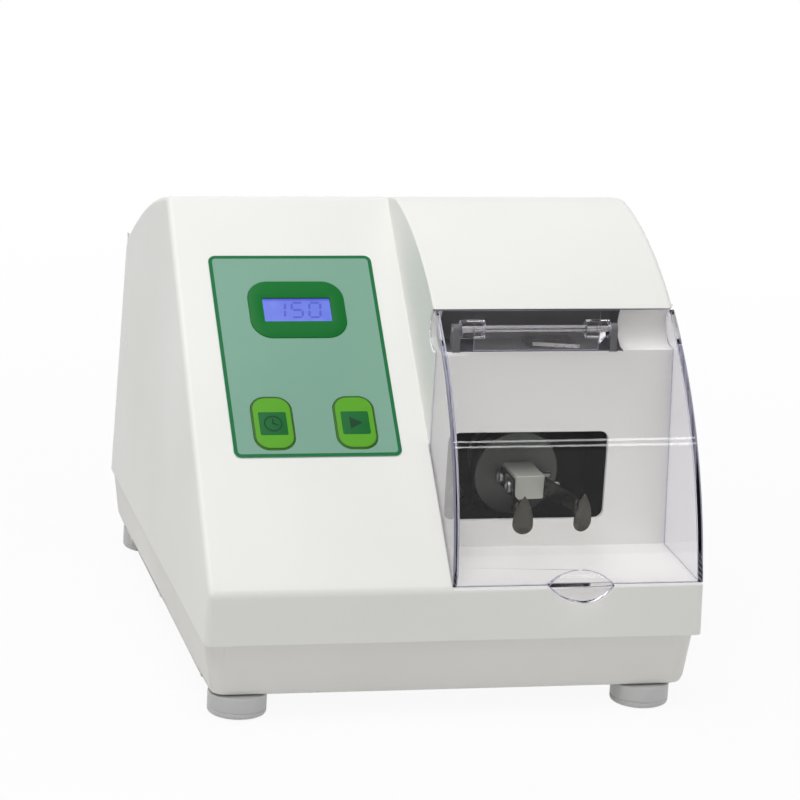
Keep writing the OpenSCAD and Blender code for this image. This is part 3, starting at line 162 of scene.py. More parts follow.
def ring_faces(rings, count, loop=False):
    """Quads that join each ring of count points to the next, and the last to the first if loop is set."""
    i = np.arange(rings if loop else rings - 1)[:, None]
    j = np.arange(count)[None, :]
    after_i, after_j = (i + 1) % rings, (j + 1) % count
    corners = (i * count + j, i * count + after_j, after_i * count + after_j, after_i * count + j)
    return np.stack(np.broadcast_arrays(*corners), -1).reshape(-1, 4)


def revolve(profile, sides=48):
    """A profile of (radius, height) turned about Z: a point at angle a is (r cos a, r sin a, h).

    The profile runs up its outer side, and closes on itself unless it starts and ends on the axis.
    """
    r, h = np.asarray(profile, float).T
    a = np.linspace(0, 2 * math.pi, sides, endpoint=False)
    grid = np.stack(
        [r[:, None] * np.cos(a), r[:, None] * np.sin(a), np.repeat(h[:, None], sides, 1)], -1
    )
    open_ends = r[0] < 1e-9 and r[-1] < 1e-9
    return grid.reshape(-1, 3), [ring_faces(len(r), sides, loop=not open_ends)]


def fillet(corner, before, after, radius, steps=4):
    """Arc in place of a profile's corner: the quadratic curve from radius before it to radius past it."""
    c, b, a = (np.asarray(p, float) for p in (corner, before, after))
    start = c + (b - c) / max(np.linalg.norm(b - c), 1e-9) * radius
    end = c + (a - c) / max(np.linalg.norm(a - c), 1e-9) * radius
    t = np.linspace(0, 1, steps + 1)[:, None]
    return (1 - t) ** 2 * start + 2 * t * (1 - t) * c + t**2 * end


def soft_profile(corners, radius, closed=True):
    """A profile whose corners are rounded by fillet(); an open one keeps its two ends sharp."""
    n = len(corners)
    radii = radius if hasattr(radius, "__len__") else [radius] * n
    parts = []
    for i, c in enumerate(corners):
        if not radii[i] or (not closed and i in (0, n - 1)):
            parts.append(np.asarray([c], float))
        else:
            parts.append(fillet(c, corners[i - 1], corners[(i + 1) % n], radii[i]))
    return np.concatenate(parts)


def rounded_outline(w, h, r, steps=10):
    """Rounded rectangle about the origin, anticlockwise: four quarter circles joined by straight sides."""
    a = np.linspace(0, QUARTER, steps)
    quarter = np.stack([np.cos(a), np.sin(a)], -1) * r
    parts = []
    for k, (sx, sy) in enumerate(((1, 1), (-1, 1), (-1, -1), (1, -1))):
        c, s = math.cos(k * QUARTER), math.sin(k * QUARTER)
        parts.append(quarter @ np.array([[c, s], [-s, c]]) + (sx * (w / 2 - r), sy * (h / 2 - r)))
    return np.concatenate(parts)


def loft(outlines, heights, loop=False):
    """Closed outlines of equal count stacked at their heights and joined in order.

    An open stack is capped at both ends.
    """
    o = np.asarray(outlines, float)
    k, n = o.shape[:2]
    z = np.broadcast_to(np.asarray(heights, float).reshape(k, 1, 1), (k, n, 1))
    faces = [ring_faces(k, n, loop)]
    if not loop:
        faces += [np.arange(n)[::-1][None], (np.arange(n) + (k - 1) * n)[None]]
    return np.concatenate([o, z], -1).reshape(-1, 3), faces


def slab(w, h, r, low, high, edge=0.3):
    """Rounded plate between two heights, its upper edge drawn in along a quarter circle of radius edge."""
    a = np.linspace(0, QUARTER, 5)
    inset = np.concatenate([[0], edge * (1 - np.cos(a))])
    level = np.concatenate([[low], high - edge + edge * np.sin(a)])
    rings = [rounded_outline(w - 2 * i, h - 2 * i, max(r - i, 0.05)) for i in inset]
    return loft(rings, level)


def screw(d, length, head_d=0.0, head_h=0.0, sides=40):
    """Pan-head screw with its seat at z = 0.

    The head's top is a low dome less a cross-shaped dip, as a height over (radius, angle). The shank's
    radius falls by a triangle wave of height less angle, which is a thread.
    """
    head_r = (head_d or 1.9 * d) / 2
    head_h = head_h or 0.6 * d
    pitch, depth = 0.2 * d + 0.1, 0.06 * d
    a = np.linspace(0, 2 * math.pi, sides, endpoint=False)
    z = np.arange(-length, -0.4, pitch / 3)[:, None]
    wave = np.abs(((z / pitch - a / (2 * math.pi)) % 1) - 0.5) * 2
    r_shank = (d / 2 - depth * wave) * np.clip((z + length) / (0.5 * d) + 0.55, 0, 1)
    z_shank = np.broadcast_to(z, r_shank.shape)
    rim_r = np.array([d / 2, head_r, head_r, 0.94 * head_r])[:, None]
    rim_z = np.array([0.0, 0.0, 0.62 * head_h, 0.86 * head_h])[:, None]
    t = np.linspace(0.88, 0.0, 12)[:, None]
    top_r = t * head_r
    x, y = np.abs(top_r * np.cos(a)), np.abs(top_r * np.sin(a))
    across, along = np.minimum(x, y), np.maximum(x, y)
    dip = np.clip((0.17 * head_r - across) / (0.08 * head_r), 0, 1)
    dip = dip * np.clip((0.62 * head_r - along) / (0.1 * head_r), 0, 1)
    top_z = head_h * (0.9 + 0.1 * (1 - t**2)) - 0.5 * head_h * dip
    start_r, start_z = np.zeros((1, sides)), np.full((1, sides), -length)
    rim_r, rim_z, top_r = (np.repeat(v, sides, 1) for v in (rim_r, rim_z, top_r))
    r = np.concatenate([start_r, r_shank, rim_r, top_r])
    z = np.concatenate([start_z, z_shank, rim_z, top_z])
    grid = np.stack([r * np.cos(a), r * np.sin(a), z], -1)
    return grid.reshape(-1, 3), [ring_faces(len(r), sides)]


def ball(radius, sides=24):
    """Sphere: radius times (sin b cos a, sin b sin a, -cos b) over the angles a and b."""
    b = np.linspace(0, math.pi, sides // 2 + 1)
    return revolve(np.stack([radius * np.sin(b), -radius * np.cos(b)], -1), sides)


def torus_band(r0, r1, h, corner, ridge, ridges, sides=96, z0=0.0):
    """Ring of rounded-rectangle section between radii r0 and r1, ridged like the strands of a winding.

    The section shrinks by a sine of the section's angle, which the ring's angle shifts to and fro.
    """
    outline = rounded_outline(r1 - r0, h, corner, 8)
    a = np.linspace(0, 2 * math.pi, sides, endpoint=False)[:, None]
    s = np.linspace(0, 2 * math.pi, len(outline), endpoint=False)[None, :]
    swell = 1 - ridge * (0.5 + 0.5 * np.sin(ridges * s + 3 * np.sin(5 * a)))
    middle = np.array([(r0 + r1) / 2, z0 + h / 2])
    rz = middle + outline[None] * swell[..., None]
    grid = np.stack([rz[..., 0] * np.cos(a), rz[..., 0] * np.sin(a), rz[..., 1]], -1)
    return grid.reshape(-1, 3), [ring_faces(sides, len(outline), loop=True)]


def copies(surface, frames):
    """The same surface once in each frame, as one surface."""
    points, faces = surface
    n = len(points)
    all_points = [points @ f[:3, :3].T + f[:3, 3] for f in frames]
    all_faces = [f + k * n for k in range(len(frames)) for f in faces]
    return np.concatenate(all_points), all_faces


def joined(*surfaces):
    """Several surfaces as one."""
    points, faces, n = [], [], 0
    for p, fs in surfaces:
        points.append(p)
        faces += [f + n for f in fs]
        n += len(p)
    return np.concatenate(points), faces


# Pieces

# How near in metres points are one, before and after the cuts; how near in millimetres
# points of a crowded rim are made one; the cosine past which a face faces a direction;
# and the angle below which two faces are one flat face.
SAME_POINT, SAME_CUT, CROWD = 2e-6, 5e-6, 0.7
FACING, FLAT = 0.9995, math.radians(0.6)


def settle(mesh, angle=32):
    """Shades a mesh smooth, and sharp where its faces meet at more than angle degrees."""
    mesh.shade_smooth()
    mesh.set_sharp_from_angle(angle=math.radians(angle))


def ride(obj, node, finish, hide=()):
    """Gives a piece its material and the body of a node, and hides the nodes that it stands for."""
    for m in finish if isinstance(finish, (list, tuple)) else [finish]:
        obj.data.materials.append(m)
    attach(obj, BODY_OF[node])
    if hide:
        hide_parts(*hide)
    return obj


def piece(name, surface, where, node, finish, hide=(), angle=32):
    """A new mesh from a surface in a frame.

    Doubles are merged, so that seams and poles close, and the faces are turned outwards.
    """
    points, faces = surface
    mesh = bpy.data.meshes.new(name)
    mesh.from_pydata(place(points, where).tolist(), [], [f for a in faces for f in a.tolist()])
    bm = bmesh.new()
    bm.from_mesh(mesh)
    bmesh.ops.remove_doubles(bm, verts=bm.verts, dist=1e-6)
    bmesh.ops.recalc_face_normals(bm, faces=bm.faces)
    bm.to_mesh(mesh)
    bm.free()
    settle(mesh, angle)
    obj = bpy.data.objects.new(name, mesh)
    bpy.context.scene.collection.objects.link(obj)
    return ride(obj, node, finish, hide)


def cut(point, where, normal, facing):
    """A plane through a point in a frame, with its normal, and the way that the faces it parts face."""
    return Vector(place([point], where)[0]), Vector(normal), Vector(facing)


def merged_copy(name, node, cuts=(), crowded=None):
    """A node's mesh as a new one, with its doubles merged and its flat faces made whole.

    A flat face with holes, or with a long rim, is parted along cuts, which keeps the holes away from the
    rounded rims. crowded(points) picks the points that are thinned to CROWD apart, so that a rounding has
    room.
    """
    mesh = frame["nodes"][node].data.copy()
    mesh.name = name
    mesh.materials.clear()
    bm = bmesh.new()
    bm.from_mesh(mesh)
    bmesh.ops.remove_doubles(bm, verts=bm.verts, dist=SAME_POINT)
    bm.normal_update()
    for point, normal, facing in cuts:
        faces = [f for f in bm.faces if f.normal.dot(facing) > FACING]
        edges = {e for f in faces for e in f.edges}
        verts = {v for f in faces for v in f.verts}
        made = bmesh.ops.bisect_plane(bm, geom=[*verts, *edges, *faces], plane_co=point, plane_no=normal)
        for e in made["geom_cut"]:
            if isinstance(e, bmesh.types.BMEdge):
                e.seam = True
    bmesh.ops.remove_doubles(bm, verts=bm.verts, dist=SAME_CUT)
    if crowded is not None:
        near = crowded(np.array([v.co for v in bm.verts]) / MM - CASE[:3, 3])
        bm.verts.ensure_lookup_table()
        bmesh.ops.remove_doubles(bm, verts=[bm.verts[i] for i in np.nonzero(near)[0]], dist=CROWD * MM)
    bmesh.ops.dissolve_limit(bm, angle_limit=FLAT, verts=bm.verts, edges=bm.edges, delimit={"SEAM"})
    bm.to_mesh(mesh)
    bm.free()
    return mesh


def softened(node, finish, width, segments=2, angle=32, weigh=None, mark=None, cuts=(), crowded=None,
             bend=None, rims=-1):
    """A bevelled copy of a node in its place, with roundings of a width in millimetres.

    weigh(starts, ends) may give each edge its own width, mark(middles, normals) each face its material and
    bend(points) the points their new places. rims is the material of the roundings.
    """
    mesh = merged_copy(node + "_finish", node, cuts, crowded)
    if bend is not None:
        co = np.empty(len(mesh.vertices) * 3)
        mesh.vertices.foreach_get("co", co)
        mesh.vertices.foreach_set("co", (bend(co.reshape(-1, 3) / MM) * MM).ravel())
        mesh.update()
    if weigh is not None:
        co = np.empty(len(mesh.vertices) * 3)
        mesh.vertices.foreach_get("co", co)
        co = co.reshape(-1, 3) / MM - CASE[:3, 3]
        ends = np.empty(len(mesh.edges) * 2, np.int32)
        mesh.edges.foreach_get("vertices", ends)
        a, b = co[ends.reshape(-1, 2)].transpose(1, 0, 2)
        sharp = crease_angles(mesh) > math.radians(angle)
        share = np.where(sharp, weigh(a, b) / width, 0.0).clip(0, 1)
        layer = mesh.attributes.new("bevel_weight_edge", "FLOAT", "EDGE")
        layer.data.foreach_set("value", share.astype(np.float32))
    if mark is not None:
        mid, normal = face_data(mesh)
        mesh.polygons.foreach_set("material_index", mark(mid, normal).astype(np.int32))
    settle(mesh, angle)
    obj = bpy.data.objects.new(node + "_finish", mesh)
    bpy.context.scene.collection.objects.link(obj)
    bevel = obj.modifiers.new("soft_edges", "BEVEL")
    bevel.width = width * MM
    bevel.segments = segments
    bevel.limit_method = "WEIGHT" if weigh is not None else "ANGLE"
    bevel.angle_limit = math.radians(angle)
    bevel.use_clamp_overlap = False
    bevel.miter_outer = "MITER_ARC"
    bevel.material = rims
    even = obj.modifiers.new("even_normals", "WEIGHTED_NORMAL")
    even.keep_sharp = True
    return ride(obj, node, finish, (node,))


def skirt_distance(points):
    """Distance in plan from the shell's drafted skirt, a rounded rectangle that narrows with height.

    It is the length outside the corner's box, plus the inner depth, less the corner radius.
    """
    x, y, z = points.T
    r = np.where(y > BODY_D / 2, REAR_R, FRONT_R)
    qx = np.abs(x) - (BODY_W / 2 - z * math.tan(DRAFT)) + r
    qy = np.abs(y - BODY_D / 2) - BODY_D / 2 + r
    return np.hypot(np.maximum(qx, 0), np.maximum(qy, 0)) + np.minimum(np.maximum(qx, qy), 0) - r


def on_skirt(points):
    """Whether each point lies on the shell's skirt."""
    return np.abs(skirt_distance(points)) < 0.2


def crease_angles(mesh):
    """Angle between the two faces at each edge, in radians; 0 where there aren't two."""
    bm = bmesh.new()
    bm.from_mesh(mesh)
    angles = np.array([e.calc_face_angle(0.0) for e in bm.edges])
    bm.free()
    return angles


def face_data(mesh):
    """Middle, in the case's frame, and normal of each face."""
    mid = np.empty(len(mesh.polygons) * 3)
    normal = np.empty(len(mesh.polygons) * 3)
    mesh.polygons.foreach_get("center", mid)
    mesh.polygons.foreach_get("normal", normal)
    return mid.reshape(-1, 3) / MM - CASE[:3, 3], normal.reshape(-1, 3)


# Materials


def new_group(name, inputs, outputs):
    """Empty shader group with named sockets; inputs map a name to (type, default)."""
    group = bpy.data.node_groups.new(name, "ShaderNodeTree")
    for label, (kind, value) in inputs.items():
        socket = group.interface.new_socket(label, in_out="INPUT", socket_type=kind)
        if value is not None:
            socket.default_value = value
    for label, kind in outputs.items():
        group.interface.new_socket(label, in_out="OUTPUT", socket_type=kind)
    return group, group.nodes.new("NodeGroupInput"), group.nodes.new("NodeGroupOutput")


class Tree:
    """Short ways to add and link the nodes of one material or group."""

    def __init__(self, tree):
        self.tree = tree

    def node(self, kind, settings=None, **inputs):
        """New node, with settings of its own and a value or a link for each input named."""
        n = self.tree.nodes.new("ShaderNode" + kind)
        for key, value in (settings or {}).items():
            setattr(n, key, value)
        for key, value in inputs.items():
            self.feed(n.inputs[key.replace("_", " ")], value)
        return n

    def feed(self, socket, value):
        """Links a socket to another one, or gives it a value."""
        if isinstance(value, bpy.types.NodeSocket):
            self.tree.links.new(value, socket)
        elif value is not None:
            socket.default_value = value

    def math(self, operation, a, b=None, c=None):
        """Result of a sum on up to three numbers."""
        n = self.tree.nodes.new("ShaderNodeMath")
        n.operation = operation
        for socket, value in zip(n.inputs, (a, b, c)):
            self.feed(socket, value)
        return n.outputs[0]

    def vector(self, operation, a, b=None, out="Vector"):
        """Result of a sum on one or two vectors."""
        n = self.tree.nodes.new("ShaderNodeVectorMath")
        n.operation = operation
        self.feed(n.inputs[0], a)
        self.feed(n.inputs[1], b)
        return n.outputs[out]

    def mix(self, share, a, b):
        """Colour that goes from a to b with the share."""
        n = self.node("Mix", {"data_type": "RGBA"})
        for socket, value in zip((n.inputs[0], n.inputs[6], n.inputs[7]), (share, a, b)):
            self.feed(socket, value)
        return n.outputs[2]

    def ramp(self, value, low, high, to_low=0.0, to_high=1.0):
        """A number carried from low..high to to_low..to_high, and held at its ends."""
        n = self.node("MapRange", None, Value=value)
        for key, v in zip(("From Min", "From Max", "To Min", "To Max"), (low, high, to_low, to_high)):
            n.inputs[key].default_value = v
        return n.outputs["Result"]


def grain_group():
    """Fine moulded grain over soft, broad unevenness: small noise is the height, and large noise the tone."""
    g, gin, gout = new_group(
        "moulded_grain",
        {"Vector": ("NodeSocketVector", None), "Scale": ("NodeSocketFloat", 900.0)},
        {"Height": "NodeSocketFloat", "Tone": "NodeSocketFloat"},
    )
    t = Tree(g)
    fine = t.node("TexNoise", None, Vector=gin.outputs[0], Scale=gin.outputs[1], Detail=3.0)
    cells = t.node("TexVoronoi", None, Vector=gin.outputs[0], Scale=gin.outputs[1])
    broad = t.node("TexNoise", None, Vector=gin.outputs[0], Scale=9.0, Detail=4.0)
    height = t.math("MULTIPLY_ADD", cells.outputs["Distance"], 0.4, fine.outputs[0])
    g.links.new(height, gout.inputs[0])
    g.links.new(t.ramp(broad.outputs[0], 0.35, 0.65), gout.inputs[1])
    return g


def streak_group():
    """Machined or brushed streaks: noise over coordinates that are stretched along one axis."""
    g, gin, gout = new_group(
        "brushed_streaks",
        {"Vector": ("NodeSocketVector", None), "Stretch": ("NodeSocketVector", (60.0, 1500.0, 1500.0))},
        {"Height": "NodeSocketFloat", "Tone": "NodeSocketFloat"},
    )
    t = Tree(g)
    drawn = t.vector("MULTIPLY", gin.outputs[0], gin.outputs[1])
    lines = t.node("TexNoise", None, Vector=drawn, Scale=1.0, Detail=3.0)
    broad = t.node("TexNoise", None, Vector=gin.outputs[0], Scale=60.0, Detail=3.0)
    tone = t.math("MULTIPLY", lines.outputs[0], t.ramp(broad.outputs[0], 0.3, 0.7, 0.7, 1.3))
    g.links.new(lines.outputs[0], gout.inputs[0])
    g.links.new(t.ramp(tone, 0.25, 0.75), gout.inputs[1])
    return g


def band_group():
    """Distance from the edge of a rounded rectangle, negative inside it.

    It is the length of the part outside the inner box, plus the inner depth, less the corner radius.
    """
    g, gin, gout = new_group(
        "rounded_edge_distance",
        {
            "Vector": ("NodeSocketVector", None),
            "Half Size": ("NodeSocketVector", (0.01, 0.01, 1.0)),
            "Radius": ("NodeSocketFloat", 0.002),
        },
        {"Distance": "NodeSocketFloat"},
    )
    t = Tree(g)
    flat = t.vector("MULTIPLY", gin.outputs[0], (1.0, 1.0, 0.0))
    corner = t.node("CombineXYZ", None, X=gin.outputs[2], Y=gin.outputs[2], Z=0.0).outputs[0]
    inner = t.vector("SUBTRACT", gin.outputs[1], corner)
    q = t.vector("SUBTRACT", t.vector("ABSOLUTE", flat), inner)
    over = t.vector("MAXIMUM", t.vector("MULTIPLY", q, (1.0, 1.0, 0.0)), (0.0, 0.0, 0.0))
    outside = t.vector("LENGTH", over, out="Value")
    parts = t.node("SeparateXYZ", None, Vector=q)
    inside = t.math("MINIMUM", t.math("MAXIMUM", parts.outputs[0], parts.outputs[1]), 0.0)
    g.links.new(t.math("SUBTRACT", t.math("ADD", outside, inside), gin.outputs[2]), gout.inputs[0])
    return g


# The groups and materials made so far, by name, and the scale of the finest grain.
GROUPS = {}
FINISHES = {}
FINE_GRAIN = 1400.0


def group(name):
    """A shared shader group, made the first time it is asked for."""
    if name not in GROUPS:
        GROUPS[name] = {"grain": grain_group, "streaks": streak_group, "edge": band_group}[name]()
    return GROUPS[name]


def start_material(name):
    """New material with its tree, its Principled shader and its object coordinates."""
    m = bpy.data.materials.new(name)
    m.use_nodes = True
    t = Tree(m.node_tree)
    shader = m.node_tree.nodes["Principled BSDF"]
    coords = t.node("TexCoord").outputs["Object"]
    return m, t, shader, coords


def use_group(t, name, **inputs):
    """A shared group placed in a material, with a value or a link for each input named."""
    n = t.tree.nodes.new("ShaderNodeGroup")
    n.node_tree = group(name)
    for key, value in inputs.items():
        t.feed(n.inputs[key.replace("_", " ")], value)
    return n


def finish(name, colour, rough, shade=0.93, swing=0.06, depth=0.00002, scale=900.0, strength=0.25,
           pattern="grain", stretch=(60.0, 1500.0, 1500.0), **plain):
    """Material with a group's pattern in its colour, roughness and bump.

    shade is how dark the tone's low end is against the colour, swing how far the roughness moves, depth the
    bump's in metres, and plain sets the shader's own sockets.
    """
    if name in FINISHES:
        return FINISHES[name]
    m, t, shader, coords = start_material(name)
    if pattern == "grain":
        g = use_group(t, "grain", Vector=coords, Scale=scale)
    else:
        g = use_group(t, "streaks", Vector=coords, Stretch=stretch)
    dark = tuple(c * shade for c in colour) + (1.0,)
    t.feed(shader.inputs["Base Color"], t.mix(g.outputs["Tone"], dark, tuple(colour) + (1.0,)))
    t.feed(shader.inputs["Roughness"], t.ramp(g.outputs["Tone"], 0, 1, rough + swing, rough - swing))
    bump = t.node("Bump", None, Strength=strength, Distance=depth, Height=g.outputs["Height"])
    t.feed(shader.inputs["Normal"], bump.outputs[0])
    for key, value in plain.items():
        shader.inputs[key.replace("_", " ")].default_value = value
    FINISHES[name] = m
    return m


def metal(name, colour, rough, **more):
    """Brushed or ground metal."""
    settings = {"shade": 0.8, "swing": 0.08, "pattern": "streaks", "Metallic": 1.0, "strength": 0.15}
    return finish(name, colour, rough, **{**settings, **more})


# What the clear plastic leaves of the lamps' light.
LIT_THROUGH = srgb(251, 250, 252)


def clear_finish(name, tint, edge_on_shade, ior, rough=(0.012, 0.05), clarity=1.0):
    """Clear plastic: a refracting shader with faint smears in its roughness, and a painted shade that deepens
    its colour where it is seen edge-on.

    It lets the lamps' light straight through, so that the bay behind it is lit.
    """
    m, t, shader, coords = start_material(name)
    smears = t.node("TexNoise", None, Vector=coords, Scale=22.0, Detail=5.0)
    t.feed(shader.inputs["Roughness"], t.ramp(smears.outputs[0], 0.45, 0.75, *rough))
    # Painted shade: the tint darkens as the surface turns edge-on to the view.
    facing = t.node("LayerWeight", None, Blend=0.5).outputs["Facing"]
    base = t.mix(t.ramp(facing, 0.45, 0.85), tuple(tint) + (1.0,), tuple(edge_on_shade) + (1.0,))
    t.feed(shader.inputs["Base Color"], base)
    shader.inputs["Transmission Weight"].default_value = clarity
    shader.inputs["IOR"].default_value = ior
    through = t.node("BsdfTransparent", None, Color=LIT_THROUGH + (1.0,))
    path = t.node("LightPath")
    mix = t.node("MixShader")
    t.feed(mix.inputs[0], path.outputs["Is Shadow Ray"])
    t.feed(mix.inputs[1], shader.outputs[0])
    t.feed(mix.inputs[2], through.outputs[0])
    t.feed(m.node_tree.nodes["Material Output"].inputs["Surface"], mix.outputs[0])
    return m


def slope_coords(t, coords, x, s):
    """Object coordinates turned into metres across and up the sloped panel from its point (x, s)."""
    origin = place([[x, s, 0.0]], SLOPE)[0]
    n = t.node("Mapping", {"vector_type": "TEXTURE"}, Vector=coords)
    n.inputs["Location"].default_value = tuple(origin)
    n.inputs["Rotation"].default_value = (SLOPE_ANGLE, 0.0, 0.0)
    return n.outputs[0]


def printed(name, field, line, at, size, radius, width, margin=0.0, rough=0.42):
    """Printed plastic on the slope: a field with one line of another colour just inside its rounded edge."""
    m, t, shader, coords = start_material(name)
    flat = slope_coords(t, coords, *at)
    half = (size[0] / 2 * MM, size[1] / 2 * MM, 1.0)
    edge = use_group(t, "edge", Vector=flat, Half_Size=half, Radius=radius * MM)
    outer = t.math("LESS_THAN", edge.outputs[0], -margin * MM)
    inner = t.math("GREATER_THAN", edge.outputs[0], -(margin + width) * MM)
    g = use_group(t, "grain", Vector=coords, Scale=FINE_GRAIN)
    dark = tuple(c * 0.95 for c in field) + (1.0,)
    base = t.mix(g.outputs["Tone"], dark, tuple(field) + (1.0,))
    t.feed(shader.inputs["Base Color"], t.mix(t.math("MULTIPLY", outer, inner), base, tuple(line) + (1.0,)))
    t.feed(shader.inputs["Roughness"], t.ramp(g.outputs["Tone"], 0, 1, rough + 0.05, rough - 0.05))
    shader.inputs["Specular IOR Level"].default_value = 0.2
    bump = t.node("Bump", None, Strength=0.2, Distance=0.00001, Height=g.outputs["Height"])
    t.feed(shader.inputs["Normal"], bump.outputs[0])
    return m


def lit_display(panel):
    """Back-lit display: a blue glow, deeper towards the upper edge and mottled a little."""
    m, t, shader, coords = start_material("lit_display")
    flat = t.node("SeparateXYZ", None, Vector=slope_coords(t, coords, PANEL_X, FRAME_S))
    up = t.ramp(flat.outputs[1], 0.36 * LCD_H * MM, 0.5 * LCD_H * MM)
    haze = t.node("TexNoise", None, Vector=coords, Scale=160.0, Detail=2.0)
    share = t.math("ADD", up, t.ramp(haze.outputs[0], 0.4, 0.6, 0.0, 0.15))
    deep = tuple(panel.display_edge) + (1.0,)
    t.feed(shader.inputs["Emission Color"], t.mix(share, tuple(panel.display) + (1.0,), deep))
    t.feed(shader.inputs["Base Color"], t.mix(share, srgb(20, 22, 60) + (1.0,), srgb(10, 10, 40) + (1.0,)))
    shader.inputs["Emission Strength"].default_value = 1.0
    shader.inputs["Specular IOR Level"].default_value = 0.15
    t.feed(shader.inputs["Roughness"], t.ramp(haze.outputs[0], 0.4, 0.6, 0.2, 0.3))
    return m


# What a user would change


def length(name, about, default, low=0.0, high=0.05):
    """A size property whose default is given in millimetres."""
    return FloatProperty(name=name, description=about, default=default * MM, min=low, max=high,
                         unit="LENGTH", subtype="DISTANCE", precision=4)


def tint(name, about, *rgb):
    """A colour property whose default is given as three 0-255 values."""
    return FloatVectorProperty(name=name, description=about, default=srgb(*rgb), min=0.0, max=1.0,
                               size=3, subtype="COLOR")


def power(name, about, default):
    """A lamp's power."""
    return FloatProperty(name=name, description=about, default=default, min=0.0, unit="POWER")


def level(name, about, default):
    """A strength of light, where 1 is white."""
    return FloatProperty(name=name, description=about, default=default, min=0.0)


class MixerCaseLook(bpy.types.PropertyGroup):
    """Finish of the case mouldings"""

    shell: tint("Shell", "Colour of the upper shell", 244, 244, 240)
    tray: tint("Tray", "Colour of the base tray", 238, 237, 232)
    # The hinge room's grey is painted shade, standing for the shade deep in the recess behind the cover.
    recess: tint("Hinge room", "Colour inside the hinge room", 112, 112, 115)
    foot: tint("Feet", "Colour of the feet", 208, 209, 208)
    outer_round: length("Outer rounding", "Rounding of the case's long outer edges", 2.4)
    edge_round: length("Edge rounding", "Rounding of the other edges", 0.4)


class MixerCoverLook(bpy.types.PropertyGroup):
    """Finish of the clear cover"""

    tint: tint("Tint", "Tint of the clear plastic", 252, 251, 252)
    # Painted shade: the clear plastic takes this darker tint where it is seen edge-on.
    edge_on_shade: tint("Edge-on tint", "Tint where the plastic is seen edge-on", 172, 171, 180)
    # The rounded rims are real; their darker lavender, half diffuse tint is painted shade.
    rim: tint("Rim", "Tint of the clear plastic's rounded rims", 190, 189, 210)
    ior: FloatProperty(name="IOR", description="Index of refraction", default=1.42, min=1.0, max=2.0)
    edge_round: length("Edge rounding", "Rounding of the cover's long edges", 0.95)


class MixerPanelLook(bpy.types.PropertyGroup):
    """Colours of the control panel"""

    field: tint("Field", "Printed field of the film", 131, 175, 155)
    border: tint("Border", "Printed line round the film", 16, 112, 62)
    frame: tint("Frame", "Display frame", 6, 116, 44)
    display: tint("Display", "Glow of the display", 112, 130, 226)
    display_edge: tint("Display edge", "Glow at the display's upper edge", 82, 82, 205)
    digits: tint("Digits", "Digits on the display", 62, 74, 168)
    button: tint("Button", "Button caps", 92, 172, 30)
    outline: tint("Outline", "Line round each cap", 52, 92, 34)
    inlay: tint("Inlay", "Square on each cap", 8, 112, 46)
    symbol: tint("Symbol", "Symbol on each square", 12, 70, 40)
    border_width: length("Border width", "Width of the film's printed line", 1.7)
    outline_width: length("Outline width", "Width of the line round a cap", 0.7)


class MixerDriveLook(bpy.types.PropertyGroup):
    """Colours of the swing drive"""

    disc: tint("Disc", "Swing disc", 92, 96, 91)
    block: tint("Block", "Holder block", 190, 192, 183)
    spring: tint("Clip", "Sprung clip arms", 84, 83, 76)
    zinc: tint("Zinc", "Zinc-plated screws", 182, 184, 184)
    ground: tint("Ground steel", "Pins, shaft and bearings", 200, 200, 198)
    copper: tint("Copper", "Windings", 184, 110, 62)


class MixerStageLook(bpy.types.PropertyGroup):
    """Light and floor"""

    ambient: level("Ambient", "Strength of the room's even light", 0.35)
    mirrored: level("Mirrored room", "Strength of the room in front, as mirrors show it", 0.08)
    glazed: level("Glazed room", "Strength of the room in front, as the clear cover shows it", 0.55)
    top_power: power("Top lamp", "Power of the lamp above", 14.0)
    front_power: power("Front lamp", "Power of the lamp in front", 0.5)
    left_power: power("Left lamp", "Power of the lamp on the left", 0.15)
    right_power: power("Right lamp", "Power of the lamp on the right", 2.6)
    strip_power: power("Strip lamps", "Power of each thin lamp that the cover mirrors", 0.5)


LOOKS = {
    "mixer_case": MixerCaseLook,
    "mixer_cover": MixerCoverLook,
    "mixer_panel": MixerPanelLook,
    "mixer_drive": MixerDriveLook,
    "mixer_stage": MixerStageLook,
}


def look(name):
    """The values of one group of looks."""
    return getattr(bpy.context.scene, name)


def black(kind="satin"):
    """Black plastic of the switches and the inlet."""
    return finish("black_plastic_" + kind, srgb(30, 30, 32), 0.45, shade=0.8, depth=0.00003)


def rubber():
    """Black rubber of the foot pads and the motor's mounts."""
    return finish("black_rubber", srgb(38, 38, 38), 0.8, shade=0.7, depth=0.00006)


def steel(kind="zinc"):
    """Steel, zinc plated or ground."""
    return metal("steel_" + kind, getattr(look("mixer_drive"), kind), {"zinc": 0.36, "ground": 0.22}[kind])


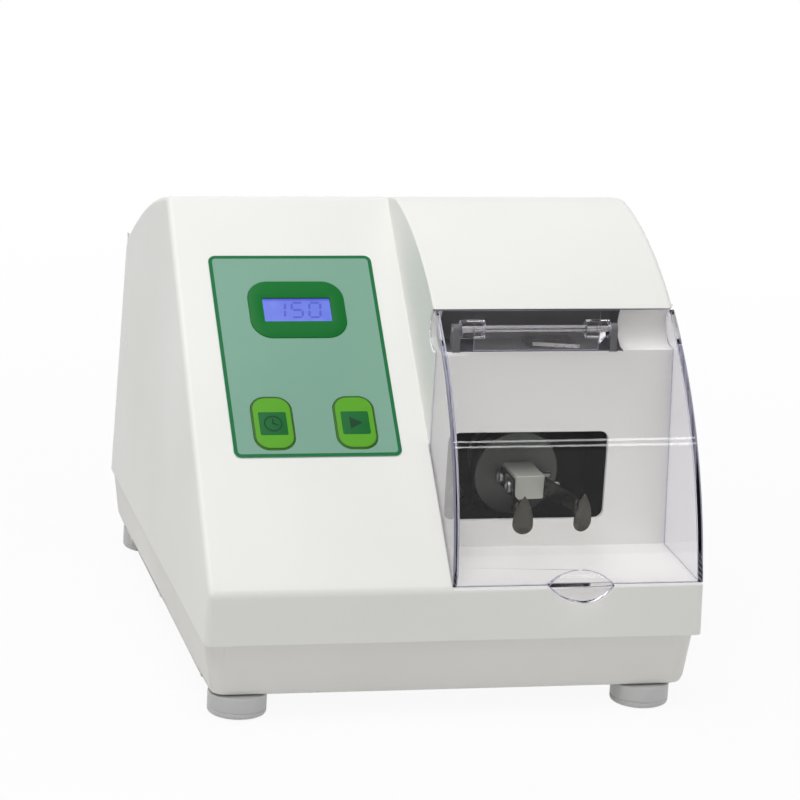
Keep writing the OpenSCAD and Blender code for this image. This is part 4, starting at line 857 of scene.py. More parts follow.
class MIXER_OT_case(bpy.types.Operator):
    """Bevelled mouldings in place of the shell and the tray"""

    bl_idname = "mixer.dress_case"
    bl_label = "Case mouldings"

    def execute(self, context):
        case = look("mixer_case")
        shell = finish("shell_plastic", case.shell, 0.42, shade=0.975, depth=0.00002)
        # Painted shade: the faces inside the hinge room get a grey in place of the shade in that deep recess.
        recess = finish("hinge_room_grey", case.recess, 0.5, shade=0.8, depth=0.00003)
        tray = finish("tray_plastic", case.tray, 0.46, shade=0.97)
        small, large = case.edge_round / MM, case.outer_round / MM
        middling = 0.3 * large

        def weigh(a, b):
            """Large for the outer skirt and the ridge, middling round the bay, and small elsewhere."""
            x, y, z = ((a + b) / 2).T
            width = np.full(len(x), small)
            tower = (np.abs(a[:, 0] - BAY_X) < 0.05) & (np.abs(b[:, 0] - BAY_X) < 0.05)
            width[tower & (z > LIP_H + 0.5)] = middling
            outer = on_skirt(a) & on_skirt(b) & (z > 1.0) & (y < BODY_D - 0.5)
            width[outer] = large
            in_bay = (x > BAY_X) & ((z < LIP_H + 0.3) | (y < BAY_D + 0.3))
            width[outer & in_bay] = middling
            ridge = (np.abs(a[:, 2] - RIDGE_H) < 0.3) & (np.abs(b[:, 2] - RIDGE_H) < 0.3)
            width[ridge & (x < BAY_X)] = large
            return width

        softened("upper_shell", [shell, recess], large, 4, 30, weigh, self.hinge_room,
                 self.shell_cuts(2.5 * large), self.roof_rim)
        softened("base_tray", tray, 0.5, 2, 34)
        return {"FINISHED"}

    @staticmethod
    def roof_rim(p):
        """Whether each point lies on the rim of the roof."""
        return on_skirt(p) & (p[:, 2] > LIP_H + 5) & (p[:, 1] > BAY_D + 8)

    @staticmethod
    def hinge_room(mid, normal):
        """1 for faces inside the hinge room, which take its painted shade, 0 elsewhere."""
        x, y, z = mid.T
        inside = (x > RECESS_X[0] - 0.1) & (x < RECESS_X[1] + 0.1)
        inside &= (y > BAY_D - 2) & (y < BAY_D + RECESS_DEPTH + 0.1)
        inside &= np.hypot(y - ARCH_Y, z - ARCH_Z) < ARCH_R - 0.5
        behind_the_bay = (z > RECESS_Z - 0.1) & (normal[:, 1] > -0.99)
        return inside & (behind_the_bay | (z > RECESS_Z + 3))

    @staticmethod
    def shell_cuts(rim):
        """Cuts of the sloped face inside its edges, of the rear wall's holes and of the side walls' ends.

        The last one is just under the hinge room.
        """
        up = SLOPE[:3, 2]
        slope_l = math.hypot(RIDGE_Y, RIDGE_H - LIP_H)
        ends = ((rim, 1), (slope_l - rim, -1))
        cuts = [cut([0, s, 0], SLOPE, SLOPE[:3, 1] * along, up) for s, along in ends]
        cuts.append(cut([rim - BODY_W / 2, 0, 0], CASE, (1, 0, -math.tan(DRAFT)), up))
        cuts.append(cut([BAY_X - rim, 0, 0], CASE, (-1, 0, 0), up))
        cuts += [cut([0, 0, REAR_Z + 0.7], CASE, Z_AXIS, (0, facing, 0)) for facing in (1, -1)]
        right, left = ((side * math.cos(DRAFT), 0, math.sin(DRAFT)) for side in (1, -1))
        for y in (BAY_D + 12, BODY_D - REAR_R - 1):
            cuts += [cut([0, y, 0], CASE, Y_AXIS, side) for side in (right, left)]
        cuts.append(cut([0, 0, 114], CASE, Z_AXIS, right))
        return cuts


class MIXER_OT_cover(bpy.types.Operator):
    """Clear cover with polished edges, and the hinge pin"""

    bl_idname = "mixer.dress_cover"
    bl_label = "Clear cover"

    def execute(self, context):
        cover = look("mixer_cover")
        large = cover.edge_round / MM

        def weigh(a, b):
            """Large for the long rim of the arch, small for the finger tab and the hinge's parts."""
            x, y, z = ((a + b) / 2).T
            long_run = (z > LIP_H + 8) & (np.hypot(y - HINGE_Y, z - HINGE_Z) > 14)
            return np.where(long_run, large, 0.25 * large)

        clear = clear_finish("clear_acrylic", cover.tint, cover.edge_on_shade, cover.ior)
        # Painted shade: the cover's rounded rims take a darker, half diffuse tint.
        rim = clear_finish("clear_acrylic_rim", cover.rim, cover.rim, cover.ior, (0.2, 0.3), 0.5)
        softened("dust_cover", [clear, rim], large, 3, 40, weigh, rims=1)
        rod = soft_profile([(0, 4.8), (1.5, 4.8), (1.5, 83.2), (0, 83.2)], [0, 0.4, 0.4, 0], closed=False)
        where = CASE @ shift(0, HINGE_Y, HINGE_Z) @ turn(QUARTER, Y_AXIS)
        piece("hinge_pin_rod", revolve(rod, 32), where, "hinge_pin", steel("ground"), ("hinge_pin",))
        return {"FINISHED"}


class MIXER_OT_panel(bpy.types.Operator):
    """Printed film, display frame, display and its digits"""

    bl_idname = "mixer.build_panel"
    bl_label = "Control panel"

    def execute(self, context):
        p = look("mixer_panel")
        film = printed("printed_film", p.field, p.border, (PANEL_X, PANEL_S + PANEL_L / 2),
                       (PANEL_W, PANEL_L), PANEL_R, p.border_width / MM, margin=0.1)
        softened("panel_film", film, 0.15, 2, 40)
        green = finish("display_frame_green", p.frame, 0.45, shade=0.9, scale=FINE_GRAIN,
                       Specular_IOR_Level=0.15)
        here = SLOPE @ shift(PANEL_X, FRAME_S, 0)
        top = PANEL_T + 0.3
        rings = [(0, 0), (0, top - 0.25), (0.08, top - 0.07), (0.25, top)]
        outlines = [rounded_outline(FRAME_W - 2 * i, FRAME_H - 2 * i, FRAME_R - i, 12) for i, _ in rings]
        levels = [h for _, h in rings]
        for out, h in ((0.5, top), (0.15, top - 0.1), (0.0, top - 0.35), (0.0, 0.0)):
            outlines.append(rounded_outline(LCD_W + 2 * out, LCD_H + 2 * out, 0.6 + out, 12))
            levels.append(h)
        ring = loft(outlines, levels, loop=True)
        piece("display_frame_ring", ring, here, "display_frame", green, ("display_frame",))
        glow = slab(LCD_W - 0.1, LCD_H - 0.1, 0.5, -0.09, 0.25, 0.1)
        piece("display_glass", glow, here, "display_module", lit_display(p))
        digits = finish("display_digits", p.digits, 0.5, shade=0.9, Emission_Strength=0.55,
                        Emission_Color=tuple(p.digits) + (1.0,))
        piece("display_segments", self.digits("150"), here, "display_module", digits)
        materials = frame["nodes"]["display_module"].data.materials
        materials.clear()
        materials.append(black())
        return {"FINISHED"}

    @staticmethod
    def digits(text, height=8.2, width=5.2, pitch=8.4, bar=1.1):
        """Seven-segment digits: each lit segment is a bar with pointed ends, at its side of the digit."""
        lit = {"1": "bc", "5": "afgcd", "0": "abcdef"}
        half = height / 2
        seats = {
            "a": (0, half, 0), "g": (0, 0, 0), "d": (0, -half, 0),
            "b": (width / 2, half / 2, 1), "c": (width / 2, -half / 2, 1),
            "f": (-width / 2, half / 2, 1), "e": (-width / 2, -half / 2, 1),
        }
        flat = np.array([[-1, 0], [-0.8, -1], [0.8, -1], [1, 0], [0.8, 1], [-0.8, 1]], float)
        bars = []
        for k, digit in enumerate(text):
            for name in lit[digit]:
                x, y, upright = seats[name]
                reach = (half if upright else width) / 2 - 0.35
                outline = flat * (reach, bar / 2)
                if upright:
                    outline = outline[:, ::-1] * (-1, 1)
                lean = (y + outline[:, 1:]) * (DIGIT_LEAN, 0)
                moved = outline + (x + (k - (len(text) - 1) / 2) * pitch, y) + lean
                bars.append(loft([moved, moved], [0.2, 0.29]))
        return joined(*bars)


class MIXER_OT_buttons(bpy.types.Operator):
    """Crowned SET and START caps with their squares and plain symbols"""

    bl_idname = "mixer.build_buttons"
    bl_label = "Buttons"

    def execute(self, context):
        p = look("mixer_panel")
        matt = {"shade": 0.85, "scale": FINE_GRAIN, "Specular_IOR_Level": 0.2}
        square = slab(13.0, 12.6, 0.8, 0.7, 1.03, 0.12)
        inlay = finish("button_inlay", p.inlay, 0.4, **matt)
        symbol = finish("button_symbol", p.symbol, 0.4, **matt)
        for node, x, sign in (("set_button", BUTTON_XS[0], self.clock()),
                              ("start_button", BUTTON_XS[1], self.play())):
            cap = printed(node + "_cap", p.button, p.outline, (x, BUTTON_S), (BUTTON_W, BUTTON_H),
                          BUTTON_R, p.outline_width / MM, margin=0.12, rough=0.32)
            here = SLOPE @ shift(x, BUTTON_S, 0)
            piece(node + "_crown", self.cap(), here, node, cap, (node,))
            piece(node + "_square", square, here @ shift(0, -0.4, 0), node, inlay)
            piece(node + "_sign", sign, here @ shift(0, -0.4, 1.0), node, symbol)
        return {"FINISHED"}

    @staticmethod
    def cap():
        """Stem, flange and cap as one stack of rounded outlines.

        Over the last few outlines the crown's height is a quarter ellipse of the inset.
        """
        stem = [(6.0, -4.55), (6.0, -4.0)]
        flange = [(BUTTON_W + 4, -4.0), (BUTTON_W + 4, -2.8)]
        rings = [rounded_outline(w, w, w / 2 - 0.01) for w, _ in stem]
        levels = [h for _, h in stem]
        for w, h in flange:
            rings.append(rounded_outline(w, w + BUTTON_H - BUTTON_W, BUTTON_R + 2))
            levels.append(h)
        top = PANEL_T + 0.5
        for inset, h in [(0, -2.8), (0, top - 0.32)] + [
            (0.35 * (1 - math.cos(a)), top - 0.32 + 0.26 * math.sin(a)) for a in np.linspace(0.3, QUARTER, 4)
        ] + [(1.6, top - 0.03), (3.4, top)]:
            rings.append(rounded_outline(BUTTON_W - 2 * inset, BUTTON_H - 2 * inset, BUTTON_R - inset))
            levels.append(h)
        return loft(rings, levels)

    @staticmethod
    def clock():
        """Plain clock face: a flat ring and two hands."""
        ring = revolve([(3.6, 0), (4.3, 0), (4.3, 0.1), (3.6, 0.1)], 40)
        hand = loft([rounded_outline(0.7, 3.0, 0.3, 4)] * 2, [0, 0.1])
        return joined(ring, copies(hand, [shift(0, 1.2, 0)]),
                      copies(hand, [turn(-1.9, Z_AXIS) @ shift(0, 1.0, 0)]))

    @staticmethod
    def play():
        """Plain triangle that points right."""
        outline = np.array([[-2.6, -3.2], [3.4, 0.0], [-2.6, 3.2]])
        return loft([outline, outline], [0, 0.1])


class MIXER_OT_feet(bpy.types.Operator):
    """Feet and their rubber pads"""

    bl_idname = "mixer.build_feet"
    bl_label = "Feet"

    def execute(self, context):
        case = look("mixer_case")
        grey = finish("foot_plastic", case.foot, 0.38, shade=0.93)
        r, bore, well, low, roof = FOOT_D / 2, 2.05, 4.5, PAD_OUT, 7.0
        groove = r - 0.25
        outline = soft_profile(
            [(bore, roof), (well, roof), (well, low), (10.45, low), (r, low), (r, 3.2), (groove, 3.4),
             (groove, 3.8), (r, 4.0), (r, FOOT_H), (bore, FOOT_H)],
            [0.2, 0.4, 0.3, 0.3, 1.6, 0.15, 0, 0, 0.15, 0.5, 0.2])
        ground = shift(*CASE[:2, 3], 0.0)
        nodes = ("front_left_foot", "front_right_foot", "rear_left_foot", "rear_right_foot")
        for node, (x, y) in zip(nodes, FEET):
            piece(node + "_turned", revolve(outline, 72), ground @ shift(x, y, 0), node, grey, (node,))
        pad = revolve(soft_profile([(5.0, 0), (10.4, 0), (10.4, 2.4), (5.0, 2.4)], 0.35))
        spots = [shift(x, y, 0) for x, y in FEET]
        piece("foot_pad_rings", copies(pad, spots), ground, "foot_pads", rubber(), ("foot_pads",))
        return {"FINISHED"}


class MIXER_OT_screws(bpy.types.Operator):
    """Every screw and bolt with its cross recess and thread"""

    bl_idname = "mixer.build_screws"
    bl_label = "Screws"

    def execute(self, context):
        sides, upright = (-1, 1), turn(QUARTER, X_AXIS)
        board = [SLOPE @ shift(PANEL_X + a * BOARD_SCREW_X, BOARD_MIDDLE_S + b * BOARD_SCREW_S, BOARD_SEAT)
                 @ FLIP for a in sides for b in sides]
        feet = [CASE @ shift(x, y, FOOT_SCREW_SEAT) @ FLIP for x, y in FEET]
        case = [CASE @ shift(a * CASE_SCREW_X, y, CASE_SCREW_SEAT) @ FLIP
                for a in sides for y in CASE_SCREW_YS]
        mounts = [CASE @ shift(x, y, MOUNT_SCREW_SEAT) for x in MOUNT_XS for y in MOUNT_YS]
        fork = [CASE @ shift(SHAFT_X + a * FORK_SCREW_X, FORK_SEAT, FORK_SCREW_Z) @ upright for a in sides]
        clips = [SWING @ shift(CLIP_SEAT, 0, f) @ turn(-QUARTER, Y_AXIS) for f in CLIP_SCREW_FS]
        inlet = [rear(INLET_X) @ shift(a * INLET_SCREW_X, 0, INLET_SEAT) @ FLIP for a in sides]
        power_board = [CASE @ shift(x, y, POWER_TOP) for x in POWER_XS for y in POWER_YS]
        bolts = [SHAFT @ turn((k + 0.5) * QUARTER, Z_AXIS) @ shift(BOLT_R, 0, BOLT_SEAT) for k in range(4)]
        nut = loft([self.hexagon(r) for r in (2.6, 3.1, 3.1, 2.6)],
                   [BOLT_L - 2.2, BOLT_L - 2.0, BOLT_L - 0.2, BOLT_L])
        bolt = joined(copies(screw(3, BOLT_L), [FLIP]), nut)
        sets = {
            "board_screws": (screw(2.5, 7.5), board), "foot_screws": (screw(4, 14), feet),
            "case_screws": (screw(4, 30), case), "bracket_screws": (screw(4, 16), mounts),
            "hub_screw": (screw(4, 7, 13, 2.6), [SWING @ shift(0, 0, 4)]),
            "fork_screws": (screw(3, 6.6), fork), "clip_screws": (screw(3, 24.4), clips),
            "inlet_screws": (screw(3, 8.5, 5.4, 1.35), inlet),
            "power_board_screws": (screw(3, 7.1), power_board), "motor_bolts": (bolt, bolts),
        }
        for node, (one, frames) in sets.items():
            piece(node + "_turned", copies(one, frames), np.eye(4), node, steel(), (node,), angle=28)
        return {"FINISHED"}

    @staticmethod
    def hexagon(r):
        """Six points at equal angles on a circle of radius r."""
        a = np.arange(6) * math.pi / 3
        return np.stack([r * np.cos(a), r * np.sin(a)], -1)


class MIXER_OT_drive(bpy.types.Operator):
    """Swing drive: disc, block, clip arms, bearing, hub, pin and fork"""

    bl_idname = "mixer.dress_drive"
    bl_label = "Swing drive"

    def execute(self, context):
        d = look("mixer_drive")
        disc = finish("disc_metal", d.disc, 0.45, shade=0.85, Metallic=0.4, depth=0.00003)
        softened("swing_disc", disc, 0.5)
        softened("holder_block", finish("block_metal", d.block, 0.42, shade=0.88, Metallic=0.25), 0.4)
        spring = metal("spring_steel", d.spring, 0.22, depth=0.000002, strength=0.05,
                       stretch=(900.0, 60.0, 900.0))
        for node, side in (("left_clip", -1), ("right_clip", 1)):
            leaf = SWING @ shift(side * LEAF_X, 0, LEAF_F) @ turn(side * LEAF_TURN, Y_AXIS)
            softened(node, spring, 0.22, cuts=self.leaf_cuts(leaf), bend=partial(self.cupped, leaf))
        # Painted shade: the window liner is near black in place of the shade inside the case behind the
        # window.
        liner = finish("liner_black", srgb(7, 7, 8), 0.7, shade=0.7, Specular_IOR_Level=0.03)
        softened("window_liner", liner, 0.15)
        softened("swing_hub", metal("machined_alloy", srgb(170, 171, 172), 0.35), 0.3)
        # Painted shade: the fork's dark grey stands for the shade behind the window, where it sits.
        softened("guide_fork", metal("blackened_alloy", srgb(52, 52, 54), 0.4), 0.3)
        ground = steel("ground")
        row, ball_r, groove_r, lip_r, half = 9, 2.4, 2.45, 7.4, 4
        turns = np.linspace(0.9, math.pi - 0.9, 9)
        arc = [(row - groove_r * math.sin(t), -groove_r * math.cos(t)) for t in turns]
        arc = [(r, h) for r, h in arc if r < lip_r]
        inner = [(5.05, half), (5.05, -half), (lip_r, -half)] + arc + [(lip_r, half)]
        far = 2 * row - lip_r
        far_arc = [(2 * row - r, h) for r, h in arc[::-1]]
        outer = [(13, -half), (13, half), (far, half)] + far_arc + [(far, -half)]
        for node, ring in (("swing_bearing_inner", inner), ("swing_bearing_outer", outer)):
            soft = [0.3 if abs(h) == half else 0 for _, h in ring]
            piece(node + "_race", revolve(soft_profile(ring, soft), 64), SWING, node, ground, (node,))
        balls = copies(ball(ball_r), [turn(k * math.pi / 4, Z_AXIS) @ shift(row, 0, 0) for k in range(8)])
        piece("bearing_ball_set", balls, SWING, "bearing_balls", ground, ("bearing_balls",))
        pin = soft_profile([(0, 13.7), (2, 13.7), (2, 25), (0, 25)], [0, 0.3, 0.6, 0], closed=False)
        where = SWING @ turn(QUARTER, X_AXIS)
        piece("guide_pin_rod", revolve(pin, 32), where, "guide_pin", ground, ("guide_pin",))
        return {"FINISHED"}

    @staticmethod
    def leaf_cuts(leaf):
        """Cuts across and along a clip's finger tab, which part its two faces into a grid that can bend."""
        across = [(0, (x, 0, 0)) for x in np.linspace(-3.6, 3.6, 9)]
        along = [(1, (0, y, 0)) for y in np.linspace(-7.0, 7.0, 8)]
        return [cut(at, leaf, leaf[:3, axis], leaf[:3, 2] * facing)
                for axis, at in across + along for facing in (1, -1)]

    @staticmethod
    def cupped(leaf, points):
        """Presses a finger tab into a shallow cup.

        A point goes back by the cup's depth times one less the square of its share of the half-width, times
        the half-width there over the widest. The half-width is a circle's below the widest place and that of
        two arcs above it.
        """
        local = (points - leaf[:3, 3]) @ leaf[:3, :3]
        h = local[:, 1] + (LEAF_H - LEAF_W) / 2
        tall = LEAF_H - LEAF_W / 2
        arc = (LEAF_W**2 / 4 + tall**2) / LEAF_W
        below = np.sqrt(np.maximum(LEAF_W**2 / 4 - h**2, 0))
        above = np.sqrt(np.maximum(arc**2 - h**2, 0)) - arc + LEAF_W / 2
        half = np.where(h < 0, below, np.maximum(above, 0))
        share = np.clip(local[:, 0] / np.maximum(half, 0.01), -1, 1)
        on_leaf = (local[:, 2] > -0.8) & (np.abs(local[:, 0]) < half + 0.1)
        back = np.where(on_leaf, LEAF_CUP * (1 - share**2) * half / (LEAF_W / 2), 0.0)
        return points - back[:, None] * leaf[:3, 2]


class MIXER_OT_motor(bpy.types.Operator):
    """Motor with its bells, core, windings, rotor, shaft, fan, bracket and mounts"""

    bl_idname = "mixer.dress_motor"
    bl_label = "Motor"

    def execute(self, context):
        d = look("mixer_drive")
        cast = finish("cast_aluminium", srgb(150, 152, 154), 0.5, shade=0.85, depth=0.0001,
                      scale=600.0, strength=0.5, Metallic=0.9)
        for node in ("motor_front_bell", "motor_rear_bell"):
            softened(node, cast, 0.4)
        stacked = {"stretch": (30.0, 2600.0, 30.0), "strength": 0.5}
        sheets = metal("lamination_steel", srgb(96, 98, 102), 0.5, **stacked)
        softened("stator_core", sheets, 0.12)
        softened("rotor_core", sheets, 0.08)
        softened("transformer_core", metal("core_sheets", srgb(104, 104, 108), 0.5, **stacked), 0.2)
        # Painted shade: the bracket is near black so that the view through the window stays as dark as the
        # shade inside the case.
        bracket = finish("bracket_steel", srgb(26, 26, 27), 0.5, shade=0.7, Specular_IOR_Level=0.2)
        softened("motor_bracket", bracket, 0.35)
        softened("cooling_fan", finish("fan_plastic", srgb(42, 52, 52), 0.5, shade=0.8), 0.2)
        copper = metal("copper_wire", d.copper, 0.3, stretch=(900.0, 900.0, 900.0), strength=0.4)
        bars = copies(loft([rounded_outline(5.3, 5.3, 1.2, 4)] * 2, [37, 75]),
                      [turn(k * math.pi / 4, Z_AXIS) @ shift(19.2, 0, 0) for k in range(8)])
        ends = [torus_band(*WINDING_R, WINDING_H, 2, 0.07, 6, z0=z) for z in WINDING_STARTS]
        coils = joined(*ends, bars)
        piece("stator_windings", coils, SHAFT, "stator_coils", copper, ("stator_coils",), angle=60)
        ground = steel("ground")
        shaft = soft_profile([(0, SHAFT_START), (SHAFT_R, SHAFT_START), (SHAFT_R, SHAFT_END), (0, SHAFT_END)],
                             [0, 0.5, 0.5, 0], closed=False)
        piece("motor_shaft_rod", revolve(shaft, 48), SHAFT, "motor_shaft", ground, ("motor_shaft",))
        bore, race, far_race, sunk = SHAFT_R + 0.05, 6.2, 9.0, 0.6
        ring = [(bore, BEARING_W), (bore, 0), (race, 0), (race + 0.2, sunk), (far_race - 0.2, sunk),
                (far_race, 0), (BEARING_R, 0), (BEARING_R, BEARING_W), (far_race, BEARING_W),
                (far_race - 0.2, BEARING_W - sunk), (race + 0.2, BEARING_W - sunk), (race, BEARING_W)]
        bearing = revolve(soft_profile(ring, [0.25, 0.25, 0.1, 0, 0, 0.1, 0.3, 0.3, 0.1, 0, 0, 0.1]), 64)
        for node, start in zip(("front_bearing", "rear_bearing"), BEARING_STARTS):
            piece(node + "_rings", bearing, SHAFT @ shift(0, 0, start), node, ground, (node,))
        mount = soft_profile([(2.05, 5), (2.05, -2), (6.5, -2), (6.5, 0), (4, 0), (4, 3), (6.5, 3), (6.5, 5)],
                             [0.2, 0.2, 0.5, 0.5, 0.2, 0.2, 0.5, 0.5])
        spots = [CASE @ shift(x, y, MOUNT_Z) for x in MOUNT_XS for y in MOUNT_YS]
        rings = copies(revolve(mount, 40), spots)
        piece("rubber_mount_rings", rings, np.eye(4), "rubber_mounts", rubber(), ("rubber_mounts",))
        return {"FINISHED"}


class MIXER_OT_electrics(bpy.types.Operator):
    """Boards, switches, transformer, capacitors and heat sink"""

    bl_idname = "mixer.dress_electrics"
    bl_label = "Electrics"

    def execute(self, context):
        board = finish("board_green", srgb(18, 92, 52), 0.4, shade=0.75, scale=260.0, strength=0.4)
        for node in ("control_board", "power_board"):
            softened(node, board, 0.12)
        for node, width in (("button_switches", 0.3), ("cover_switch", 0.2)):
            softened(node, black(), width)
        softened("switch_lever", metal("lever_steel", srgb(190, 190, 188), 0.3), 0.1)
        softened("heat_sink", metal("sink_alloy", srgb(60, 62, 66), 0.45), 0.2)
        wound = metal("transformer_winding", srgb(176, 96, 52), 0.38, strength=0.5,
                      stretch=(20.0, 20.0, 1900.0))
        softened("transformer_coil", wound, 0.5)
        sleeve = finish("capacitor_sleeve", srgb(30, 62, 112), 0.32, shade=0.85)
        r, neck, top = 9, 8.5, 28.6
        can = soft_profile(
            [(0, 0), (r, 0), (r, 3.4), (neck, 4), (neck, 4.6), (r, 5.2), (r, 28), (8, 29), (6.5, top),
             (0, top)],
            [0, 0.8, 0.3, 0.2, 0.2, 0.3, 1.0, 0.4, 0.2, 0], closed=False)
        cans = copies(revolve(can, 56), [CASE @ shift(-30, y, POWER_TOP) for y in (52, 74)])
        piece("capacitor_cans", cans, np.eye(4), "capacitors", sleeve, ("capacitors",))
        return {"FINISHED"}


class MIXER_OT_rear(bpy.types.Operator):
    """Mains inlet, its pins and the mains switch"""

    bl_idname = "mixer.dress_rear"
    bl_label = "Mains inlet and switch"

    def execute(self, context):
        softened("power_inlet", black(), 0.4)
        softened("inlet_pins", steel("ground"), 0.3)
        softened("switch_frame", black(), 0.25)
        softened("switch_rocker", black("gloss"), 0.35)
        return {"FINISHED"}


# The fitted camera: its focal length in pixels of a picture PICTURE_PX wide, its angles in
# radians, and where the point that it aims at lies across, up and along its view.
CAMERA_FOCAL_PX = 3911.92
CAMERA_YAW, CAMERA_PITCH, CAMERA_ROLL = 0.241481, 0.275807, 0.057022
CAMERA_SHIFT = (28.9440, -50.5917, 1738.232)
CAMERA_AIM = (0.0, 0.0, 60.0)
PICTURE_PX, SENSOR_MM = 800, 36.0

# Lamps, in metres: where each is, and where it points.
LAMPS = {
    "top": ((-0.4, -0.25, 1.45), (0, 0, 0.05)),
    "front": ((0.4, -1.9, 0.75), (0, 0, 0.08)),
    "left": ((-1.8, -0.3, 0.8), (0, 0, 0.08)),
    "right": ((1.8, -0.3, 0.9), (0, 0, 0.08)),
}
LAMP_SIZE, STRIP_SIZE = (1.2, 1.2), (1.1, 0.02)
STRIP_X, STRIP_Y, STRIP_ZS, STRIP_AIM = 0.51, -1.6, (1.33, 1.42), (0.05, -0.08, 0.11)


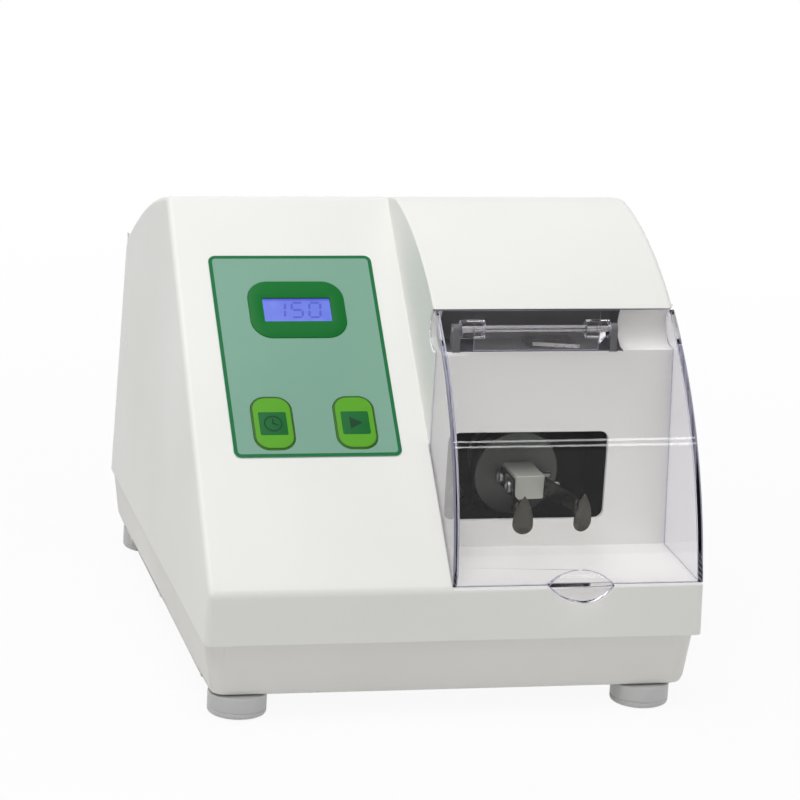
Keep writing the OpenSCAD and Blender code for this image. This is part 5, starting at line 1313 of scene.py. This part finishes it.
class MIXER_OT_stage(bpy.types.Operator):
    """Camera at the photograph's angle, soft studio light and a pale floor"""

    bl_idname = "mixer.set_stage"
    bl_label = "Stage"

    def execute(self, context):
        s = look("mixer_stage")
        scene = context.scene
        scene.view_settings.view_transform = "Standard"
        self.camera(scene)
        self.world(scene, s)
        for side, (at, aim) in LAMPS.items():
            self.lamp(side + "_lamp", at, aim, LAMP_SIZE, getattr(s, side + "_power"))
        for k, z in enumerate(STRIP_ZS):
            self.lamp(f"strip_lamp_{k + 1}", (STRIP_X, STRIP_Y, z), STRIP_AIM, STRIP_SIZE, s.strip_power)
        floor = bpy.data.meshes.new("floor")
        floor.from_pydata([(-5, -5, 0), (5, -5, 0), (5, 5, 0), (-5, 5, 0)], [], [(0, 1, 2, 3)])
        obj = bpy.data.objects.new("floor", floor)
        obj.data.materials.append(self.floor_material())
        scene.collection.objects.link(obj)
        return {"FINISHED"}

    @staticmethod
    def camera(scene):
        """The camera looks along yaw and pitch and is turned by the roll.

        Its shift is the fitted place of the aim in the camera's own axes.
        """
        sy, cy = math.sin(CAMERA_YAW), math.cos(CAMERA_YAW)
        sp, cp = math.sin(CAMERA_PITCH), math.cos(CAMERA_PITCH)
        forward = np.array([sy * cp, cy * cp, -sp])
        level = np.array([cy, -sy, 0.0])
        upright = np.cross(level, forward)
        right = level * math.cos(CAMERA_ROLL) + upright * math.sin(CAMERA_ROLL)
        up = -level * math.sin(CAMERA_ROLL) + upright * math.cos(CAMERA_ROLL)
        tx, ty, tz = CAMERA_SHIFT
        centre = np.array(CAMERA_AIM) - tx * right - ty * up - tz * forward
        m = np.eye(4)
        m[:3, 0], m[:3, 1], m[:3, 2] = right, up, -forward
        m[:3, 3] = place([centre], CASE)[0]
        data = bpy.data.cameras.new("camera")
        data.sensor_width = SENSOR_MM
        data.lens = CAMERA_FOCAL_PX / PICTURE_PX * SENSOR_MM
        data.clip_end = 50.0
        obj = bpy.data.objects.new("camera", data)
        obj.matrix_world = Matrix(m.tolist())
        scene.collection.objects.link(obj)
        scene.camera = obj

    @staticmethod
    def world(scene, s):
        """Even grey light from all round, and white for the camera.

        Mirrors show white only of the backdrop behind the part. The clear cover shows it white too, dimmer
        towards the front and nearly dark above a steep angle.
        """
        world = bpy.data.worlds.new("studio")
        scene.world = world
        world.use_nodes = True
        t = Tree(world.node_tree)
        path = t.node("LightPath")
        way = t.node("SeparateXYZ", None, Vector=t.node("TexCoord").outputs["Generated"])
        behind = t.ramp(way.outputs[1], -0.3, 0.3, s.mirrored, 1.0)
        below = t.ramp(way.outputs[2], 0.45, 0.75, 1.0, s.mirrored)
        through = t.math("MINIMUM", below, t.ramp(way.outputs[1], -0.3, 0.3, s.glazed, 1.0))
        strength = s.ambient
        for kind, value in (("Glossy", behind), ("Transmission", through), ("Camera", 1.0)):
            chosen = t.node("Mix", None, Factor=path.outputs[f"Is {kind} Ray"], A=strength, B=value)
            strength = chosen.outputs[0]
        room = world.node_tree.nodes["Background"]
        room.inputs["Color"].default_value = (1.0, 1.0, 1.0, 1.0)
        t.feed(room.inputs["Strength"], strength)

    @staticmethod
    def lamp(name, at, aim, size, power):
        """Soft box of a width and height at a point, turned to its aim."""
        data = bpy.data.lights.new(name, "AREA")
        data.shape = "RECTANGLE"
        data.size, data.size_y = size
        data.energy = power
        obj = bpy.data.objects.new(name, data)
        obj.location = at
        away = Vector(at) - Vector(aim)
        obj.rotation_euler = away.to_track_quat("Z", "Y").to_euler()
        bpy.context.scene.collection.objects.link(obj)

    @staticmethod
    def floor_material():
        """White floor that glows for the camera, mirrors and glass.

        It glows more the further it is, so that it meets the white backdrop and still takes the shadow.
        """
        m, t, shader, coords = start_material("studio_floor")
        haze = t.node("TexNoise", None, Vector=coords, Scale=4.0)
        t.feed(shader.inputs["Roughness"], t.ramp(haze.outputs[0], 0.3, 0.7, 0.85, 0.95))
        shader.inputs["Base Color"].default_value = (0.8, 0.8, 0.8, 1.0)
        shader.inputs["Specular IOR Level"].default_value = 0.0
        path = t.node("LightPath")
        seen = t.math("MAXIMUM", path.outputs["Is Camera Ray"], path.outputs["Is Glossy Ray"])
        seen = t.math("MAXIMUM", seen, path.outputs["Is Transmission Ray"])
        glow = t.node("Emission", None, Color=(1.0, 1.0, 1.0, 1.0), Strength=1.0)
        away = t.vector("LENGTH", coords, out="Value")
        mix = t.node("MixShader")
        t.feed(mix.inputs[0], t.math("MULTIPLY", seen, t.ramp(away, 0.2, 0.8, 0.93, 1.0)))
        t.feed(mix.inputs[1], shader.outputs[0])
        t.feed(mix.inputs[2], glow.outputs[0])
        t.feed(m.node_tree.nodes["Material Output"].inputs["Surface"], mix.outputs[0])
        return m


OPERATORS = (
    MIXER_OT_stage, MIXER_OT_case, MIXER_OT_cover, MIXER_OT_panel, MIXER_OT_buttons,
    MIXER_OT_feet, MIXER_OT_drive, MIXER_OT_screws, MIXER_OT_motor, MIXER_OT_electrics, MIXER_OT_rear,
)


class MIXER_PT_dressing(bpy.types.Panel):
    """Lists the operators and the looks in the sidebar"""

    bl_idname = "MIXER_PT_dressing"
    bl_label = "Capsule Mixer"
    bl_space_type = "VIEW_3D"
    bl_region_type = "UI"
    bl_category = "Capsule Mixer"

    def draw(self, context):
        for operator in OPERATORS:
            self.layout.operator(operator.bl_idname)
        for name, group_type in LOOKS.items():
            box = self.layout.box()
            box.label(text=group_type.__doc__)
            for key in group_type.__annotations__:
                box.prop(getattr(context.scene, name), key)


CLASSES = tuple(LOOKS.values()) + OPERATORS + (MIXER_PT_dressing,)


def register():
    """Registers the classes and puts the looks on the scene."""
    for cls in CLASSES:
        bpy.utils.register_class(cls)
    for name, group_type in LOOKS.items():
        setattr(bpy.types.Scene, name, PointerProperty(type=group_type))


def unregister():
    """Takes the looks and the classes away again."""
    for name in LOOKS:
        delattr(bpy.types.Scene, name)
    for cls in reversed(CLASSES):
        bpy.utils.unregister_class(cls)


def main():
    """Registers the add-on and runs the operators in order."""
    register()
    for operator in OPERATORS:
        namespace, name = operator.bl_idname.split(".")
        getattr(getattr(bpy.ops, namespace), name)()


if __name__ == "__main__":
    main()
